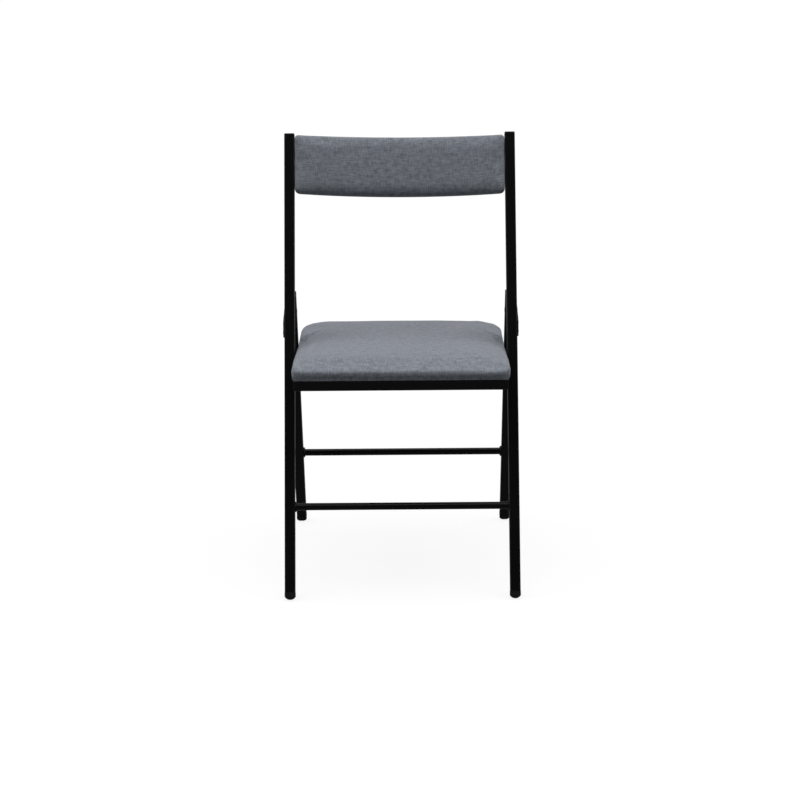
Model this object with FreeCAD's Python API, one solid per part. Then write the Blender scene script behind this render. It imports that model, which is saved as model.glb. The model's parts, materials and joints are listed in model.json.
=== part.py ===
"""Folding chair with a square-tube steel frame, a padded seat and a bowed, padded backrest.

Millimetres and degrees. Left and right are as seen by someone who faces the chair: +X is to the
right, +Y runs from the chair's front to its back and +Z is up. The origin is on the floor, under the
middle of the standing chair. Three groups of pieces are drawn in frames of their own:
  long frame: z runs up the long tube from its foot tip, y points out of the tube's rear face
  rear frame: z runs up the rear leg from the hinge axis, y points out of the leg's rear face
  seat frame: level, from the seat pivot, y to the back
"""

import FreeCAD, Part
import math
import os
from FreeCAD import Placement, Rotation, Vector

os.makedirs("parts", exist_ok=True)

# Tubes
TUBE = 20.0
TUBE_WALL = 1.5
TUBE_CORNER = 2.5
RUNG_RADIUS = 7.0
RUNG_WALL = 1.5

# Main frame
FRAME_WIDTH = 450.0
LONG_LENGTH = 907.0
LONG_LEAN = 22.3
FRONT_RUNG_ALONG = 178.0

# Rear frame
REAR_LEAN = 23.2
HINGE_ALONG = 564.0
REAR_TOP_REACH = 43.0
LOWER_RUNG_DROP = 362.5
STOP_GAP = 0.3

# Hinge between a long tube and a rear leg
HINGE_PLATE_THICK = 2.5
HINGE_PLATE_ROUND = 10.0
HINGE_RIVET_RADIUS = 4.0
HINGE_HEAD_RADIUS = 7.5
HINGE_HEAD_TALL = 1.2
HINGE_TAIL_RADIUS = 6.0
HINGE_TAIL_TALL = 0.7
HINGE_WASHER_RADIUS = 8.5
HINGE_WASHER_THICK = 1.2
SLEEVE_RADIUS = 6.0
PLATE_RIVET_BACK = 4.0
PLATE_RIVET_DROPS = (31.0, 48.0)
PLATE_RIVET_RADIUS = 2.4
PLATE_RIVET_HEAD_RADIUS = 5.0
PLATE_RIVET_HEAD_TALL = 0.8
RIVET_BULB_RADIUS = 3.4
RIVET_BULB_LONG = 3.0

# Plastic feet and plugs
FOOT_SIDE = 20.6
FOOT_TALL = 14.0
FOOT_ARCH = 12.0
FOOT_BALL = 15.0
FOOT_FLAT = 0.5
PLUG_HEAD = 3.0
PLUG_EDGE = 1.5
SPIGOT_LONG = 18.0
SPIGOT_PLAY = 0.1

# Seat frame and its pivot
SEAT_FRAME_TOP = 423.0
SEAT_FRAME_DEPTH = 350.0
SEAT_PIVOT_FROM_FRONT = 132.0
SEAT_SIDE_GAP = 3.5
SEAT_PLUG_HEAD = 1.5
SEAT_BOLT_RADIUS = 4.0
SEAT_BOLT_HEAD_RADIUS = 7.0
SEAT_BOLT_HEAD_TALL = 4.0
BUSHING_WALL = 1.5
BUSHING_FLANGE_RADIUS = 7.5
BUSHING_FLANGE = 1.2
RIVET_NUT_RADIUS = 5.5
RIVET_NUT_FLANGE_RADIUS = 6.8
RIVET_NUT_FLANGE = 0.8
RIVET_NUT_LONG = 13.0
SEAT_WASHER_RADIUS = 7.5

# What holds the seat on the upper rear rung
REST_PAD_WIDTH = 14.0
REST_PAD_DEPTH = 16.0
REST_PAD_THICK = 2.0
REST_STUD_RADIUS = 2.5
REST_STUD_TALL = 5.0
HOOK_WIDTH = 16.0
HOOK_THICK = 3.0
HOOK_TALL = 20.0
HOOK_FLANGE = 22.0
HOOK_GAP = 0.5

# Seat upholstery
SEAT_BOARD_THICK = 9.0
SEAT_BOARD_INSET = 2.0
SEAT_BOARD_CORNER = 20.0
CUSHION_SIDE_GAP = 1.3
CUSHION_FRONT_OVERHANG = 6.0
CUSHION_REAR_OVERHANG = 4.0
CUSHION_TALL = 35.0
CUSHION_FRONT_DROP = 14.0
CUSHION_CROWN_BACK = 215.0
CUSHION_CORNER = 24.0
DUST_COVER_THICK = 0.8
DUST_COVER_GAP = 1.0
SEAT_SCREW_FROM_BAR = 24.0
SEAT_SCREW_FROM_PIVOT = 22.0
SEAT_SCREW_FROM_PAD = 12.0
SEAT_SCREW_RADIUS = 2.4
SEAT_SCREW_HEAD_RADIUS = 5.0
SEAT_SCREW_HEAD_TALL = 2.4
SEAT_SCREW_BITE = 7.0

# Backrest, in depths behind the long tubes' middle
BACK_TOP_DROP = 5.0
BACK_HEIGHT = 115.0
BACK_SAG = 36.0
BACK_PAD_FRONT = -16.0
BACK_BOARD_REAR = 3.0
BACK_BOARD_THICK = 6.0
BACK_BOARD_INSET = 6.0
BACK_COVER_THICK = 1.0
BACK_COVER_INSET = 2.0
BACK_RAIL_THICK = 3.0
BACK_RAIL_TALL = 18.0
BACK_RAIL_INSET = 20.0
BACK_SCREW_TURNS = (-14.0, 0.0, 14.0)
BACK_SCREW_RADIUS = 2.0
BACK_SCREW_HEAD_RADIUS = 4.0
BACK_SCREW_HEAD_TALL = 2.0
BACK_SCREW_BITE = 4.5

# Clearances
RUNNING_FIT = 0.06
BOW_PLAY = 0.1
HOLE_PLAY = 0.05
FACE_PLAY = 0.15
SOFT_GAP = 0.3


def sin(angle):
    return math.sin(math.radians(angle))


def cos(angle):
    return math.cos(math.radians(angle))


def foot_lift(lean):
    """Height of a leg's tip above the floor, where the round foot stands on its small flat."""
    return FOOT_ARCH * (1 - cos(lean)) - FOOT_FLAT


def foot_reach(lean):
    """How far the outer edge of a slanted foot stands out past the leg's tip."""
    edge_height = FOOT_ARCH - math.sqrt(FOOT_ARCH**2 - (FOOT_SIDE / 2) ** 2)
    return FOOT_SIDE / 2 * cos(lean) - edge_height * sin(lean)


def hinge_offset():
    """Depth of the hinge axis behind the long tube, whose rear face stops the open leg's top plug."""
    corner_reach = (REAR_TOP_REACH - PLUG_EDGE) * sin(FOLD_ANGLE)
    corner_drop = (HALF_TUBE - PLUG_EDGE) * cos(FOLD_ANGLE)
    return HALF_TUBE + STOP_GAP + PLUG_EDGE + corner_reach + corner_drop


# Worked out from the sizes above: across the chair
SIDES = {"left": -1, "right": 1}
HALF_TUBE = TUBE / 2
OUTER_X = FRAME_WIDTH / 2
INNER_X = OUTER_X - TUBE
REAR_OUTER_X = OUTER_X - HINGE_WASHER_THICK - 2 * FACE_PLAY
REAR_INNER_X = REAR_OUTER_X - TUBE
SEAT_OUTER_X = INNER_X - SEAT_SIDE_GAP
SEAT_INNER_X = SEAT_OUTER_X - TUBE

# Worked out: the side view of the standing chair
FOLD_ANGLE = LONG_LEAN + REAR_LEAN
HINGE_OFFSET = hinge_offset()
HINGE_Z = foot_lift(LONG_LEAN) + HINGE_ALONG * cos(LONG_LEAN) - HINGE_OFFSET * sin(LONG_LEAN)
HINGE_FROM_TIP = HINGE_ALONG * sin(LONG_LEAN) + HINGE_OFFSET * cos(LONG_LEAN)
REAR_LENGTH = (HINGE_Z - foot_lift(REAR_LEAN)) / cos(REAR_LEAN)
TIP_TO_TIP = HINGE_FROM_TIP + REAR_LENGTH * sin(REAR_LEAN)
TIP_Y = -(TIP_TO_TIP + foot_reach(REAR_LEAN) - foot_reach(LONG_LEAN)) / 2
HINGE_Y = TIP_Y + HINGE_FROM_TIP

# Worked out: the seat, from its pivot
SEAT_PIVOT_Z = SEAT_FRAME_TOP - HALF_TUBE
SEAT_PIVOT_ALONG = (SEAT_PIVOT_Z - foot_lift(LONG_LEAN)) / cos(LONG_LEAN)
SEAT_PIVOT_Y = TIP_Y + SEAT_PIVOT_ALONG * sin(LONG_LEAN)
SEAT_FRONT_Y = -SEAT_PIVOT_FROM_FRONT
SEAT_REAR_Y = SEAT_FRONT_Y + SEAT_FRAME_DEPTH
REST_RUNG_Z = -HALF_TUBE - REST_PAD_THICK - STOP_GAP - RUNG_RADIUS
REST_RUNG_DROP = (HINGE_Z - SEAT_PIVOT_Z - REST_RUNG_Z) / cos(REAR_LEAN)
REST_RUNG_Y = HINGE_Y + REST_RUNG_DROP * sin(REAR_LEAN) - SEAT_PIVOT_Y

REST_PAD_FRONT_Y = REST_RUNG_Y + RUNG_RADIUS - REST_PAD_DEPTH
SEAT_SCREWS_BACK = (
    SEAT_FRONT_Y + TUBE + SEAT_SCREW_FROM_BAR,
    SEAT_SCREW_FROM_PIVOT,
    REST_PAD_FRONT_Y - SEAT_SCREW_FROM_PAD,
)

# Worked out: the backrest
BACK_TOP = LONG_LENGTH - BACK_TOP_DROP
BACK_BOTTOM = BACK_TOP - BACK_HEIGHT
BACK_RADIUS = (INNER_X**2 + BACK_SAG**2) / (2 * BACK_SAG)
BACK_CENTRE_Y = BACK_SAG - BACK_RADIUS
BACK_COVER_FRONT = BACK_BOARD_REAR + BOW_PLAY
BACK_COVER_REAR = BACK_COVER_FRONT + BACK_COVER_THICK
BACK_RAIL_FRONT = BACK_COVER_REAR + BOW_PLAY
BACK_RAIL_REAR = BACK_RAIL_FRONT + BACK_RAIL_THICK

X_AXIS = Vector(1, 0, 0)
Y_AXIS = Vector(0, 1, 0)
Z_AXIS = Vector(0, 0, 1)
LONG_FRAME = Placement(Vector(0, TIP_Y, foot_lift(LONG_LEAN)), Rotation(X_AXIS, -LONG_LEAN))
REAR_FRAME = Placement(Vector(0, HINGE_Y, HINGE_Z), Rotation(X_AXIS, REAR_LEAN))
SEAT_FRAME = Placement(Vector(0, SEAT_PIVOT_Y, SEAT_PIVOT_Z), Rotation())


def save(name, frame, solids):
    """Write one node: its solids, moved from their own frame into the chair's."""
    placed = [solid.transformed(frame.toMatrix(), True) for solid in solids]
    shape = placed[0] if len(placed) == 1 else Part.makeCompound(placed)
    if not shape.isValid():
        raise ValueError(name + " is not a valid shape")
    shape.exportStep("parts/" + name + ".step")


def block(x0, x1, y0, y1, z0, z1):
    return Part.makeBox(x1 - x0, y1 - y0, z1 - z0, Vector(x0, y0, z0))


def disc(x0, x1, radius, y=0.0, z=0.0):
    """Round bar along x between two places, in either order."""
    return Part.makeCylinder(radius, abs(x1 - x0), Vector(min(x0, x1), y, z), X_AXIS)


def upright_disc(x, y, radius, z0, z1):
    return Part.makeCylinder(radius, z1 - z0, Vector(x, y, z0))


def edges_along(shape, axis):
    """The straight edges that run along an axis, which is 0, 1 or 2 for x, y or z."""
    found = []
    for edge in shape.Edges:
        way = edge.Vertexes[-1].Point - edge.Vertexes[0].Point
        if way.Length > 0 and abs(abs(way[axis]) - way.Length) < 1e-6:
            found.append(edge)
    return found


def rounded_block(x0, x1, y0, y1, z0, z1, corner):
    """Block with its four upright edges rounded."""
    plain = block(x0, x1, y0, y1, z0, z1)
    return plain.makeFillet(corner, edges_along(plain, 2))


def square_bar(side, z0, z1, corner):
    half = side / 2
    return rounded_block(-half, half, -half, half, z0, z1, corner)


def square_tube(z0, z1):
    bore = square_bar(TUBE - 2 * TUBE_WALL, z0, z1, TUBE_CORNER - TUBE_WALL)
    return square_bar(TUBE, z0, z1, TUBE_CORNER).cut(bore)


def spigot(z0, z1):
    """The part of a foot or plug that sits inside the tube."""
    return square_bar(TUBE - 2 * TUBE_WALL - 2 * SPIGOT_PLAY, z0, z1, TUBE_CORNER - TUBE_WALL)


def beside(shape, x):
    return shape.translated(Vector(x, 0, 0))


def turned(shape, axis, angle):
    return shape.transformed(Placement(Vector(), Rotation(axis, angle)).toMatrix(), True)


def rung(half_length, y, z):
    """Round tube across the chair, from leg to leg."""
    bore = disc(-half_length, half_length, RUNG_RADIUS - RUNG_WALL, y, z)
    return disc(-half_length, half_length, RUNG_RADIUS, y, z).cut(bore)


def dome(x, reach, radius, y, z):
    """Low round head on the plane at x. It rises by reach along x, which may be negative."""
    ball = (radius**2 + reach**2) / (2 * abs(reach))
    half_turn = math.asin(radius / ball) / 2
    along = abs(reach) - ball + ball * math.cos(half_turn)
    middle = Vector(x + math.copysign(along, reach), y, z + ball * math.sin(half_turn))
    rim, tip, foot_point = Vector(x, y, z + radius), Vector(x + reach, y, z), Vector(x, y, z)
    sides = [Part.makeLine(foot_point, rim), Part.Arc(rim, middle, tip).toShape()]
    sides.append(Part.makeLine(tip, foot_point))
    return Part.Face(Part.Wire(sides)).revolve(foot_point, X_AXIS, 360)


def foot(frame, z_tip):
    """Plastic leg tip: a block with an arched end and a small flat, and a spigot in the tube."""
    half = FOOT_SIDE / 2
    tip = square_bar(FOOT_SIDE, z_tip, z_tip + FOOT_TALL, TUBE_CORNER)
    arch_middle = Vector(0, 0, z_tip + FOOT_ARCH)
    rounds = {
        Part.makeCylinder(FOOT_ARCH, FOOT_SIDE, arch_middle - X_AXIS * half, X_AXIS): FOOT_ARCH,
        Part.makeCylinder(FOOT_ARCH, FOOT_SIDE, arch_middle - Y_AXIS * half, Y_AXIS): FOOT_ARCH,
        Part.makeSphere(FOOT_BALL, Vector(0, 0, z_tip + FOOT_BALL)): FOOT_BALL,
    }
    for shape, radius in rounds.items():
        tip = tip.cut(block(-half, half, -half, half, z_tip, z_tip + radius).cut(shape))
    floor = block(-FRAME_WIDTH, FRAME_WIDTH, -LONG_LENGTH, LONG_LENGTH, -TUBE, 0)
    tip = tip.cut(floor.transformed(frame.inverse().toMatrix(), True))
    return tip.fuse(spigot(z_tip + FOOT_TALL, z_tip + FOOT_TALL + SPIGOT_LONG))


def plug(z_top, head):
    """Plastic plug in the upper end of a tube, with its head flush with the tube's faces."""
    cap = square_bar(TUBE, z_top - head, z_top, TUBE_CORNER)
    rim = [edge for edge in cap.Edges if edge.BoundBox.ZMin > z_top - head / 2]
    cap = cap.makeFillet(min(PLUG_EDGE, head / 2), rim)
    return cap.fuse(spigot(z_top - head - SPIGOT_LONG, z_top - head))


def make_long_tubes():
    """Front leg and back post in one straight tube on each side, with foot, plug and rung."""
    for name, side in SIDES.items():
        x = side * (OUTER_X - HALF_TUBE)
        tube = beside(square_tube(FOOT_TALL, LONG_LENGTH - PLUG_HEAD), x)
        for drop in PLATE_RIVET_DROPS:
            hole_radius = PLATE_RIVET_RADIUS + HOLE_PLAY
            tube = tube.cut(disc(x, side * OUTER_X, hole_radius, PLATE_RIVET_BACK, HINGE_ALONG - drop))
        nut_hole = disc(side * INNER_X, x, RIVET_NUT_RADIUS + HOLE_PLAY, 0, SEAT_PIVOT_ALONG)
        save(name + "_long_tube", LONG_FRAME, [tube.cut(nut_hole)])
        save(name + "_front_foot", LONG_FRAME, [beside(foot(LONG_FRAME, 0), x)])
        save(name + "_top_plug", LONG_FRAME, [beside(plug(LONG_LENGTH, PLUG_HEAD), x)])
    save("front_rung", LONG_FRAME, [rung(INNER_X, 0, FRONT_RUNG_ALONG)])


def hinge_plate(side):
    """Flat steel that reaches from two rivets on the long tube back to the rear leg's hinge."""
    inside = side * OUTER_X
    outside = inside + side * HINGE_PLATE_THICK
    upper, lower = [Vector(inside, PLATE_RIVET_BACK, HINGE_ALONG - drop) for drop in PLATE_RIVET_DROPS]
    hinge = Vector(inside, HINGE_OFFSET, HINGE_ALONG)
    triangle = Part.Face(Part.makePolygon([upper, hinge, lower, upper]))
    plate = triangle.makeOffset2D(HINGE_PLATE_ROUND).extrude(Vector(outside - inside, 0, 0))
    for centre in (upper, lower):
        plate = plate.cut(disc(inside, outside, PLATE_RIVET_RADIUS + HOLE_PLAY, centre.y, centre.z))
    return plate.cut(disc(inside, outside, HINGE_RIVET_RADIUS + RUNNING_FIT, hinge.y, hinge.z))


def plate_rivet(side, drop):
    """Blind rivet through the hinge plate and the tube's outer wall, with its bulb in the tube."""
    outside = side * (OUTER_X + HINGE_PLATE_THICK)
    inside = side * (OUTER_X - TUBE_WALL)
    y, z = PLATE_RIVET_BACK, HINGE_ALONG - drop
    shank = disc(inside, outside, PLATE_RIVET_RADIUS, y, z)
    head = dome(outside, side * PLATE_RIVET_HEAD_TALL, PLATE_RIVET_HEAD_RADIUS, y, z)
    bulb = disc(inside - side * RIVET_BULB_LONG, inside, RIVET_BULB_RADIUS, y, z)
    return shank.fuse([head, bulb])


def hinge_rivet(side):
    """The rear leg's pivot, through plate, washer and sleeve, with a low head at each end."""
    outside = side * (OUTER_X + HINGE_PLATE_THICK)
    inside = side * (REAR_INNER_X - FACE_PLAY)
    shank = disc(inside, outside, HINGE_RIVET_RADIUS, HINGE_OFFSET, HINGE_ALONG)
    head = dome(outside, side * HINGE_HEAD_TALL, HINGE_HEAD_RADIUS, HINGE_OFFSET, HINGE_ALONG)
    tail = dome(inside, -side * HINGE_TAIL_TALL, HINGE_TAIL_RADIUS, HINGE_OFFSET, HINGE_ALONG)
    return shank.fuse([head, tail])


def hinge_washer(side):
    near = side * (REAR_OUTER_X + FACE_PLAY)
    far = near + side * HINGE_WASHER_THICK
    hole = disc(near, far, HINGE_RIVET_RADIUS + RUNNING_FIT, HINGE_OFFSET, HINGE_ALONG)
    return disc(near, far, HINGE_WASHER_RADIUS, HINGE_OFFSET, HINGE_ALONG).cut(hole)


def make_hinges():
    for name, side in SIDES.items():
        save(name + "_hinge_plate", LONG_FRAME, [hinge_plate(side)])
        save(name + "_hinge_rivet", LONG_FRAME, [hinge_rivet(side)])
    save("hinge_washers", LONG_FRAME, [hinge_washer(side) for side in SIDES.values()])
    rivets = [plate_rivet(side, drop) for side in SIDES.values() for drop in PLATE_RIVET_DROPS]
    save("plate_rivets", LONG_FRAME, rivets)


def make_rear_frame():
    """The legs that fold in, with their rungs, feet, plugs and hinge sleeves."""
    sleeves = []
    for name, side in SIDES.items():
        x = side * (REAR_OUTER_X - HALF_TUBE)
        inside, outside = side * REAR_INNER_X, side * REAR_OUTER_X
        leg = beside(square_tube(FOOT_TALL - REAR_LENGTH, REAR_TOP_REACH - PLUG_HEAD), x)
        leg = leg.cut(disc(inside, outside, SLEEVE_RADIUS + HOLE_PLAY))
        save(name + "_rear_leg", REAR_FRAME, [leg])
        save(name + "_rear_foot", REAR_FRAME, [beside(foot(REAR_FRAME, -REAR_LENGTH), x)])
        save(name + "_rear_top_plug", REAR_FRAME, [beside(plug(REAR_TOP_REACH, PLUG_HEAD), x)])
        bore = disc(inside, outside, HINGE_RIVET_RADIUS + RUNNING_FIT)
        sleeves.append(disc(inside, outside, SLEEVE_RADIUS).cut(bore))
    save("hinge_sleeves", REAR_FRAME, sleeves)
    save("lower_rear_rung", REAR_FRAME, [rung(REAR_INNER_X, 0, -LOWER_RUNG_DROP)])
    save("upper_rear_rung", REAR_FRAME, [rung(REAR_INNER_X, 0, -REST_RUNG_DROP)])


def seat_side_bar(side):
    """Seat bar between the front and rear bar, with holes for bushing, screws and rest pad."""
    x = side * (SEAT_OUTER_X - HALF_TUBE)
    front, rear = SEAT_FRONT_Y + TUBE, SEAT_REAR_Y - TUBE
    bar = beside(turned(square_tube(front, rear), X_AXIS, -90), x)
    bushing_radius = SEAT_BOLT_RADIUS + RUNNING_FIT + BUSHING_WALL
    bar = bar.cut(disc(side * SEAT_INNER_X, side * SEAT_OUTER_X, bushing_radius + HOLE_PLAY))
    for back in SEAT_SCREWS_BACK:
        bar = bar.cut(upright_disc(x, back, SEAT_SCREW_RADIUS + HOLE_PLAY, -HALF_TUBE, HALF_TUBE))
    return bar.cut(upright_disc(x, REST_RUNG_Y, REST_STUD_RADIUS + HOLE_PLAY, -HALF_TUBE, 0))


def seat_bushing(side):
    """Nylon sleeve through the side bar, flanged on the inside, that turns on the pivot bolt."""
    radius = SEAT_BOLT_RADIUS + RUNNING_FIT + BUSHING_WALL
    inside = side * SEAT_INNER_X
    end = inside - side * BUSHING_FLANGE
    sleeve = disc(inside, side * SEAT_OUTER_X, radius).fuse(disc(end, inside, BUSHING_FLANGE_RADIUS))
    return sleeve.cut(disc(end, side * SEAT_OUTER_X, SEAT_BOLT_RADIUS + RUNNING_FIT))


def seat_pivot_bolt(side):
    """Hexagon bolt from inside the seat frame, through the side bar, into the long tube's nut."""
    under_head = side * (SEAT_INNER_X - BUSHING_FLANGE - 2 * FACE_PLAY)
    end = side * (INNER_X + RIVET_NUT_LONG)
    corners = []
    for corner in range(7):
        y, z = SEAT_BOLT_HEAD_RADIUS * cos(60 * corner), SEAT_BOLT_HEAD_RADIUS * sin(60 * corner)
        corners.append(Vector(under_head, y, z))
    hexagon = Part.Face(Part.makePolygon(corners))
    head = hexagon.extrude(Vector(-side * SEAT_BOLT_HEAD_TALL, 0, 0))
    return disc(under_head, end, SEAT_BOLT_RADIUS).fuse(head)


def rivet_nut(side):
    """Threaded insert in the long tube's inner wall."""
    face, end = side * INNER_X, side * (INNER_X + RIVET_NUT_LONG)
    flange = disc(face - side * RIVET_NUT_FLANGE, face, RIVET_NUT_FLANGE_RADIUS)
    body = disc(face, end, RIVET_NUT_RADIUS).fuse(flange)
    return body.cut(disc(face - side * RIVET_NUT_FLANGE, end, SEAT_BOLT_RADIUS + HOLE_PLAY))


def seat_washer(side):
    near = side * (SEAT_OUTER_X + 2 * FACE_PLAY)
    far = side * (INNER_X - RIVET_NUT_FLANGE)
    return disc(near, far, SEAT_WASHER_RADIUS).cut(disc(near, far, SEAT_BOLT_RADIUS + RUNNING_FIT))


def seat_hook(side):
    """Steel angle under the side bar. Its leg hangs behind the upper rear rung."""
    x = side * (SEAT_OUTER_X - HALF_TUBE)
    front = REST_RUNG_Y + RUNG_RADIUS + HOOK_GAP
    low = -HALF_TUBE - HOOK_TALL
    x0, x1 = x - HOOK_WIDTH / 2, x + HOOK_WIDTH / 2
    leg = block(x0, x1, front, front + HOOK_THICK, low, -HALF_TUBE)
    flange = block(x0, x1, front, front + HOOK_FLANGE, -HALF_TUBE - HOOK_THICK, -HALF_TUBE)
    hook = leg.fuse(flange).removeSplitter()
    tip = [edge for edge in edges_along(hook, 1) if edge.BoundBox.ZMax < low + HOOK_THICK]
    return hook.makeFillet(HOOK_THICK, tip)


def rest_pad(side):
    """Plastic pad under the side bar that lies on the upper rear rung."""
    x = side * (SEAT_OUTER_X - HALF_TUBE)
    x0, x1 = x - REST_PAD_WIDTH / 2, x + REST_PAD_WIDTH / 2
    y0, y1 = REST_PAD_FRONT_Y, REST_PAD_FRONT_Y + REST_PAD_DEPTH
    pad = block(x0, x1, y0, y1, -HALF_TUBE - REST_PAD_THICK, -HALF_TUBE)
    stud = upright_disc(x, REST_RUNG_Y, REST_STUD_RADIUS, -HALF_TUBE, REST_STUD_TALL - HALF_TUBE)
    return pad.fuse(stud)


def make_seat_frame():
    half = SEAT_OUTER_X - SEAT_PLUG_HEAD
    plugs = []
    for name, y in {"front": SEAT_FRONT_Y + HALF_TUBE, "rear": SEAT_REAR_Y - HALF_TUBE}.items():
        cross_bar = turned(square_tube(-half, half), Y_AXIS, 90).translated(Vector(0, y, 0))
        save("seat_" + name + "_bar", SEAT_FRAME, [cross_bar])
        for side in SIDES.values():
            end_plug = turned(plug(SEAT_OUTER_X, SEAT_PLUG_HEAD), Y_AXIS, 90 * side)
            plugs.append(end_plug.translated(Vector(0, y, 0)))
    save("seat_bar_plugs", SEAT_FRAME, plugs)
    for name, side in SIDES.items():
        save("seat_" + name + "_bar", SEAT_FRAME, [seat_side_bar(side)])
        save(name + "_seat_hook", SEAT_FRAME, [seat_hook(side)])
    save("seat_rest_pads", SEAT_FRAME, [rest_pad(side) for side in SIDES.values()])


def make_seat_pivots():
    save("seat_pivot_bushings", SEAT_FRAME, [seat_bushing(side) for side in SIDES.values()])
    save("seat_pivot_bolts", SEAT_FRAME, [seat_pivot_bolt(side) for side in SIDES.values()])
    save("seat_rivet_nuts", SEAT_FRAME, [rivet_nut(side) for side in SIDES.values()])
    save("seat_pivot_washers", SEAT_FRAME, [seat_washer(side) for side in SIDES.values()])


def seat_board():
    half = SEAT_OUTER_X - SEAT_BOARD_INSET
    front, rear = SEAT_FRONT_Y + SEAT_BOARD_INSET, SEAT_REAR_Y - SEAT_BOARD_INSET
    top = HALF_TUBE + SEAT_BOARD_THICK
    return rounded_block(-half, half, front, rear, HALF_TUBE, top, SEAT_BOARD_CORNER)


def seat_cushion():
    """Foam in its cover, crowned all over as part of one ball, with a pocket for the board."""
    half = REAR_INNER_X - CUSHION_SIDE_GAP
    front, rear = SEAT_FRONT_Y - CUSHION_FRONT_OVERHANG, SEAT_REAR_Y + CUSHION_REAR_OVERHANG
    crown_z = HALF_TUBE + CUSHION_TALL
    body = rounded_block(-half, half, front, rear, HALF_TUBE, 2 * crown_z, CUSHION_CORNER)
    ball_radius = (CUSHION_CROWN_BACK**2 + CUSHION_FRONT_DROP**2) / (2 * CUSHION_FRONT_DROP)
    ball_middle = Vector(0, front + CUSHION_CROWN_BACK, crown_z - ball_radius)
    crowned = body.common(Part.makeSphere(ball_radius, ball_middle, Y_AXIS * -1))
    return crowned.cut(seat_board())


def seat_screw(side, back):
    """Pan head screw up through the side bar into the board."""
    x = side * (SEAT_OUTER_X - HALF_TUBE)
    shank = upright_disc(x, back, SEAT_SCREW_RADIUS, -HALF_TUBE, HALF_TUBE + SEAT_SCREW_BITE)
    head = turned(dome(0, SEAT_SCREW_HEAD_TALL, SEAT_SCREW_HEAD_RADIUS, 0, 0), Y_AXIS, 90)
    return shank.fuse(head.translated(Vector(x, back, -HALF_TUBE)))


def make_seat_top():
    board = seat_board()
    screws = [seat_screw(side, back) for side in SIDES.values() for back in SEAT_SCREWS_BACK]
    for side in SIDES.values():
        for back in SEAT_SCREWS_BACK:
            x = side * (SEAT_OUTER_X - HALF_TUBE)
            depth = HALF_TUBE + SEAT_SCREW_BITE
            board = board.cut(upright_disc(x, back, SEAT_SCREW_RADIUS + HOLE_PLAY, 0, depth))
    half = SEAT_INNER_X - DUST_COVER_GAP
    front, rear = SEAT_FRONT_Y + TUBE + DUST_COVER_GAP, SEAT_REAR_Y - TUBE - DUST_COVER_GAP
    cloth = block(-half, half, front, rear, HALF_TUBE - DUST_COVER_THICK, HALF_TUBE)
    save("seat_board", SEAT_FRAME, [board])
    save("seat_cushion", SEAT_FRAME, [seat_cushion()])
    save("seat_dust_cover", SEAT_FRAME, [cloth])
    save("seat_screws", SEAT_FRAME, screws)


def bowed_slab(half, depth0, depth1, z0, z1):
    """Slab between two depths behind the tubes' middle, bowed to the rear about one upright axis."""
    centre = Vector(0, BACK_CENTRE_Y, z0)
    outer = Part.makeCylinder(BACK_RADIUS + depth1, z1 - z0, centre)
    inner = Part.makeCylinder(BACK_RADIUS + depth0, z1 - z0, centre)
    window = block(-half, half, BACK_CENTRE_Y + BACK_RADIUS / 2, BACK_CENTRE_Y + 2 * BACK_RADIUS, z0, z1)
    return outer.cut(inner).common(window)


def back_screw(turn, z, play=0.0):
    """Screw from behind, through rail and cover into the board. With play it is the hole for it."""
    rail_rear = BACK_RADIUS + BACK_RAIL_REAR
    bite_end = BACK_RADIUS + BACK_BOARD_REAR - BACK_SCREW_BITE
    length = rail_rear - bite_end + play
    screw = Part.makeCylinder(BACK_SCREW_RADIUS + play, length, Vector(0, bite_end, 0), Y_AXIS)
    if play == 0:
        head = turned(dome(0, BACK_SCREW_HEAD_TALL, BACK_SCREW_HEAD_RADIUS, 0, 0), Z_AXIS, 90)
        screw = screw.fuse(head.translated(Vector(0, rail_rear, 0)))
    around_bow = Placement(Vector(0, BACK_CENTRE_Y, z), Rotation(Z_AXIS, turn))
    return screw.transformed(around_bow.toMatrix(), True)


def make_back_rails(screw_places):
    """Bowed flat bars welded between the posts, behind the backrest."""
    low, high = BACK_BOTTOM + BACK_RAIL_INSET, BACK_TOP - BACK_RAIL_INSET - BACK_RAIL_TALL
    for name, z in {"lower": low, "upper": high}.items():
        rail = bowed_slab(INNER_X, BACK_RAIL_FRONT, BACK_RAIL_REAR, z, z + BACK_RAIL_TALL)
        for turn, screw_z in screw_places:
            rail = rail.cut(back_screw(turn, screw_z, HOLE_PLAY))
        save(name + "_back_rail", LONG_FRAME, [rail])


def bowed_layer(inset, depth0, depth1):
    """Slab as wide and tall as the backrest pad, less an inset all round."""
    half = INNER_X - SOFT_GAP - inset
    return bowed_slab(half, depth0, depth1, BACK_BOTTOM + inset, BACK_TOP - inset)


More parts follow.
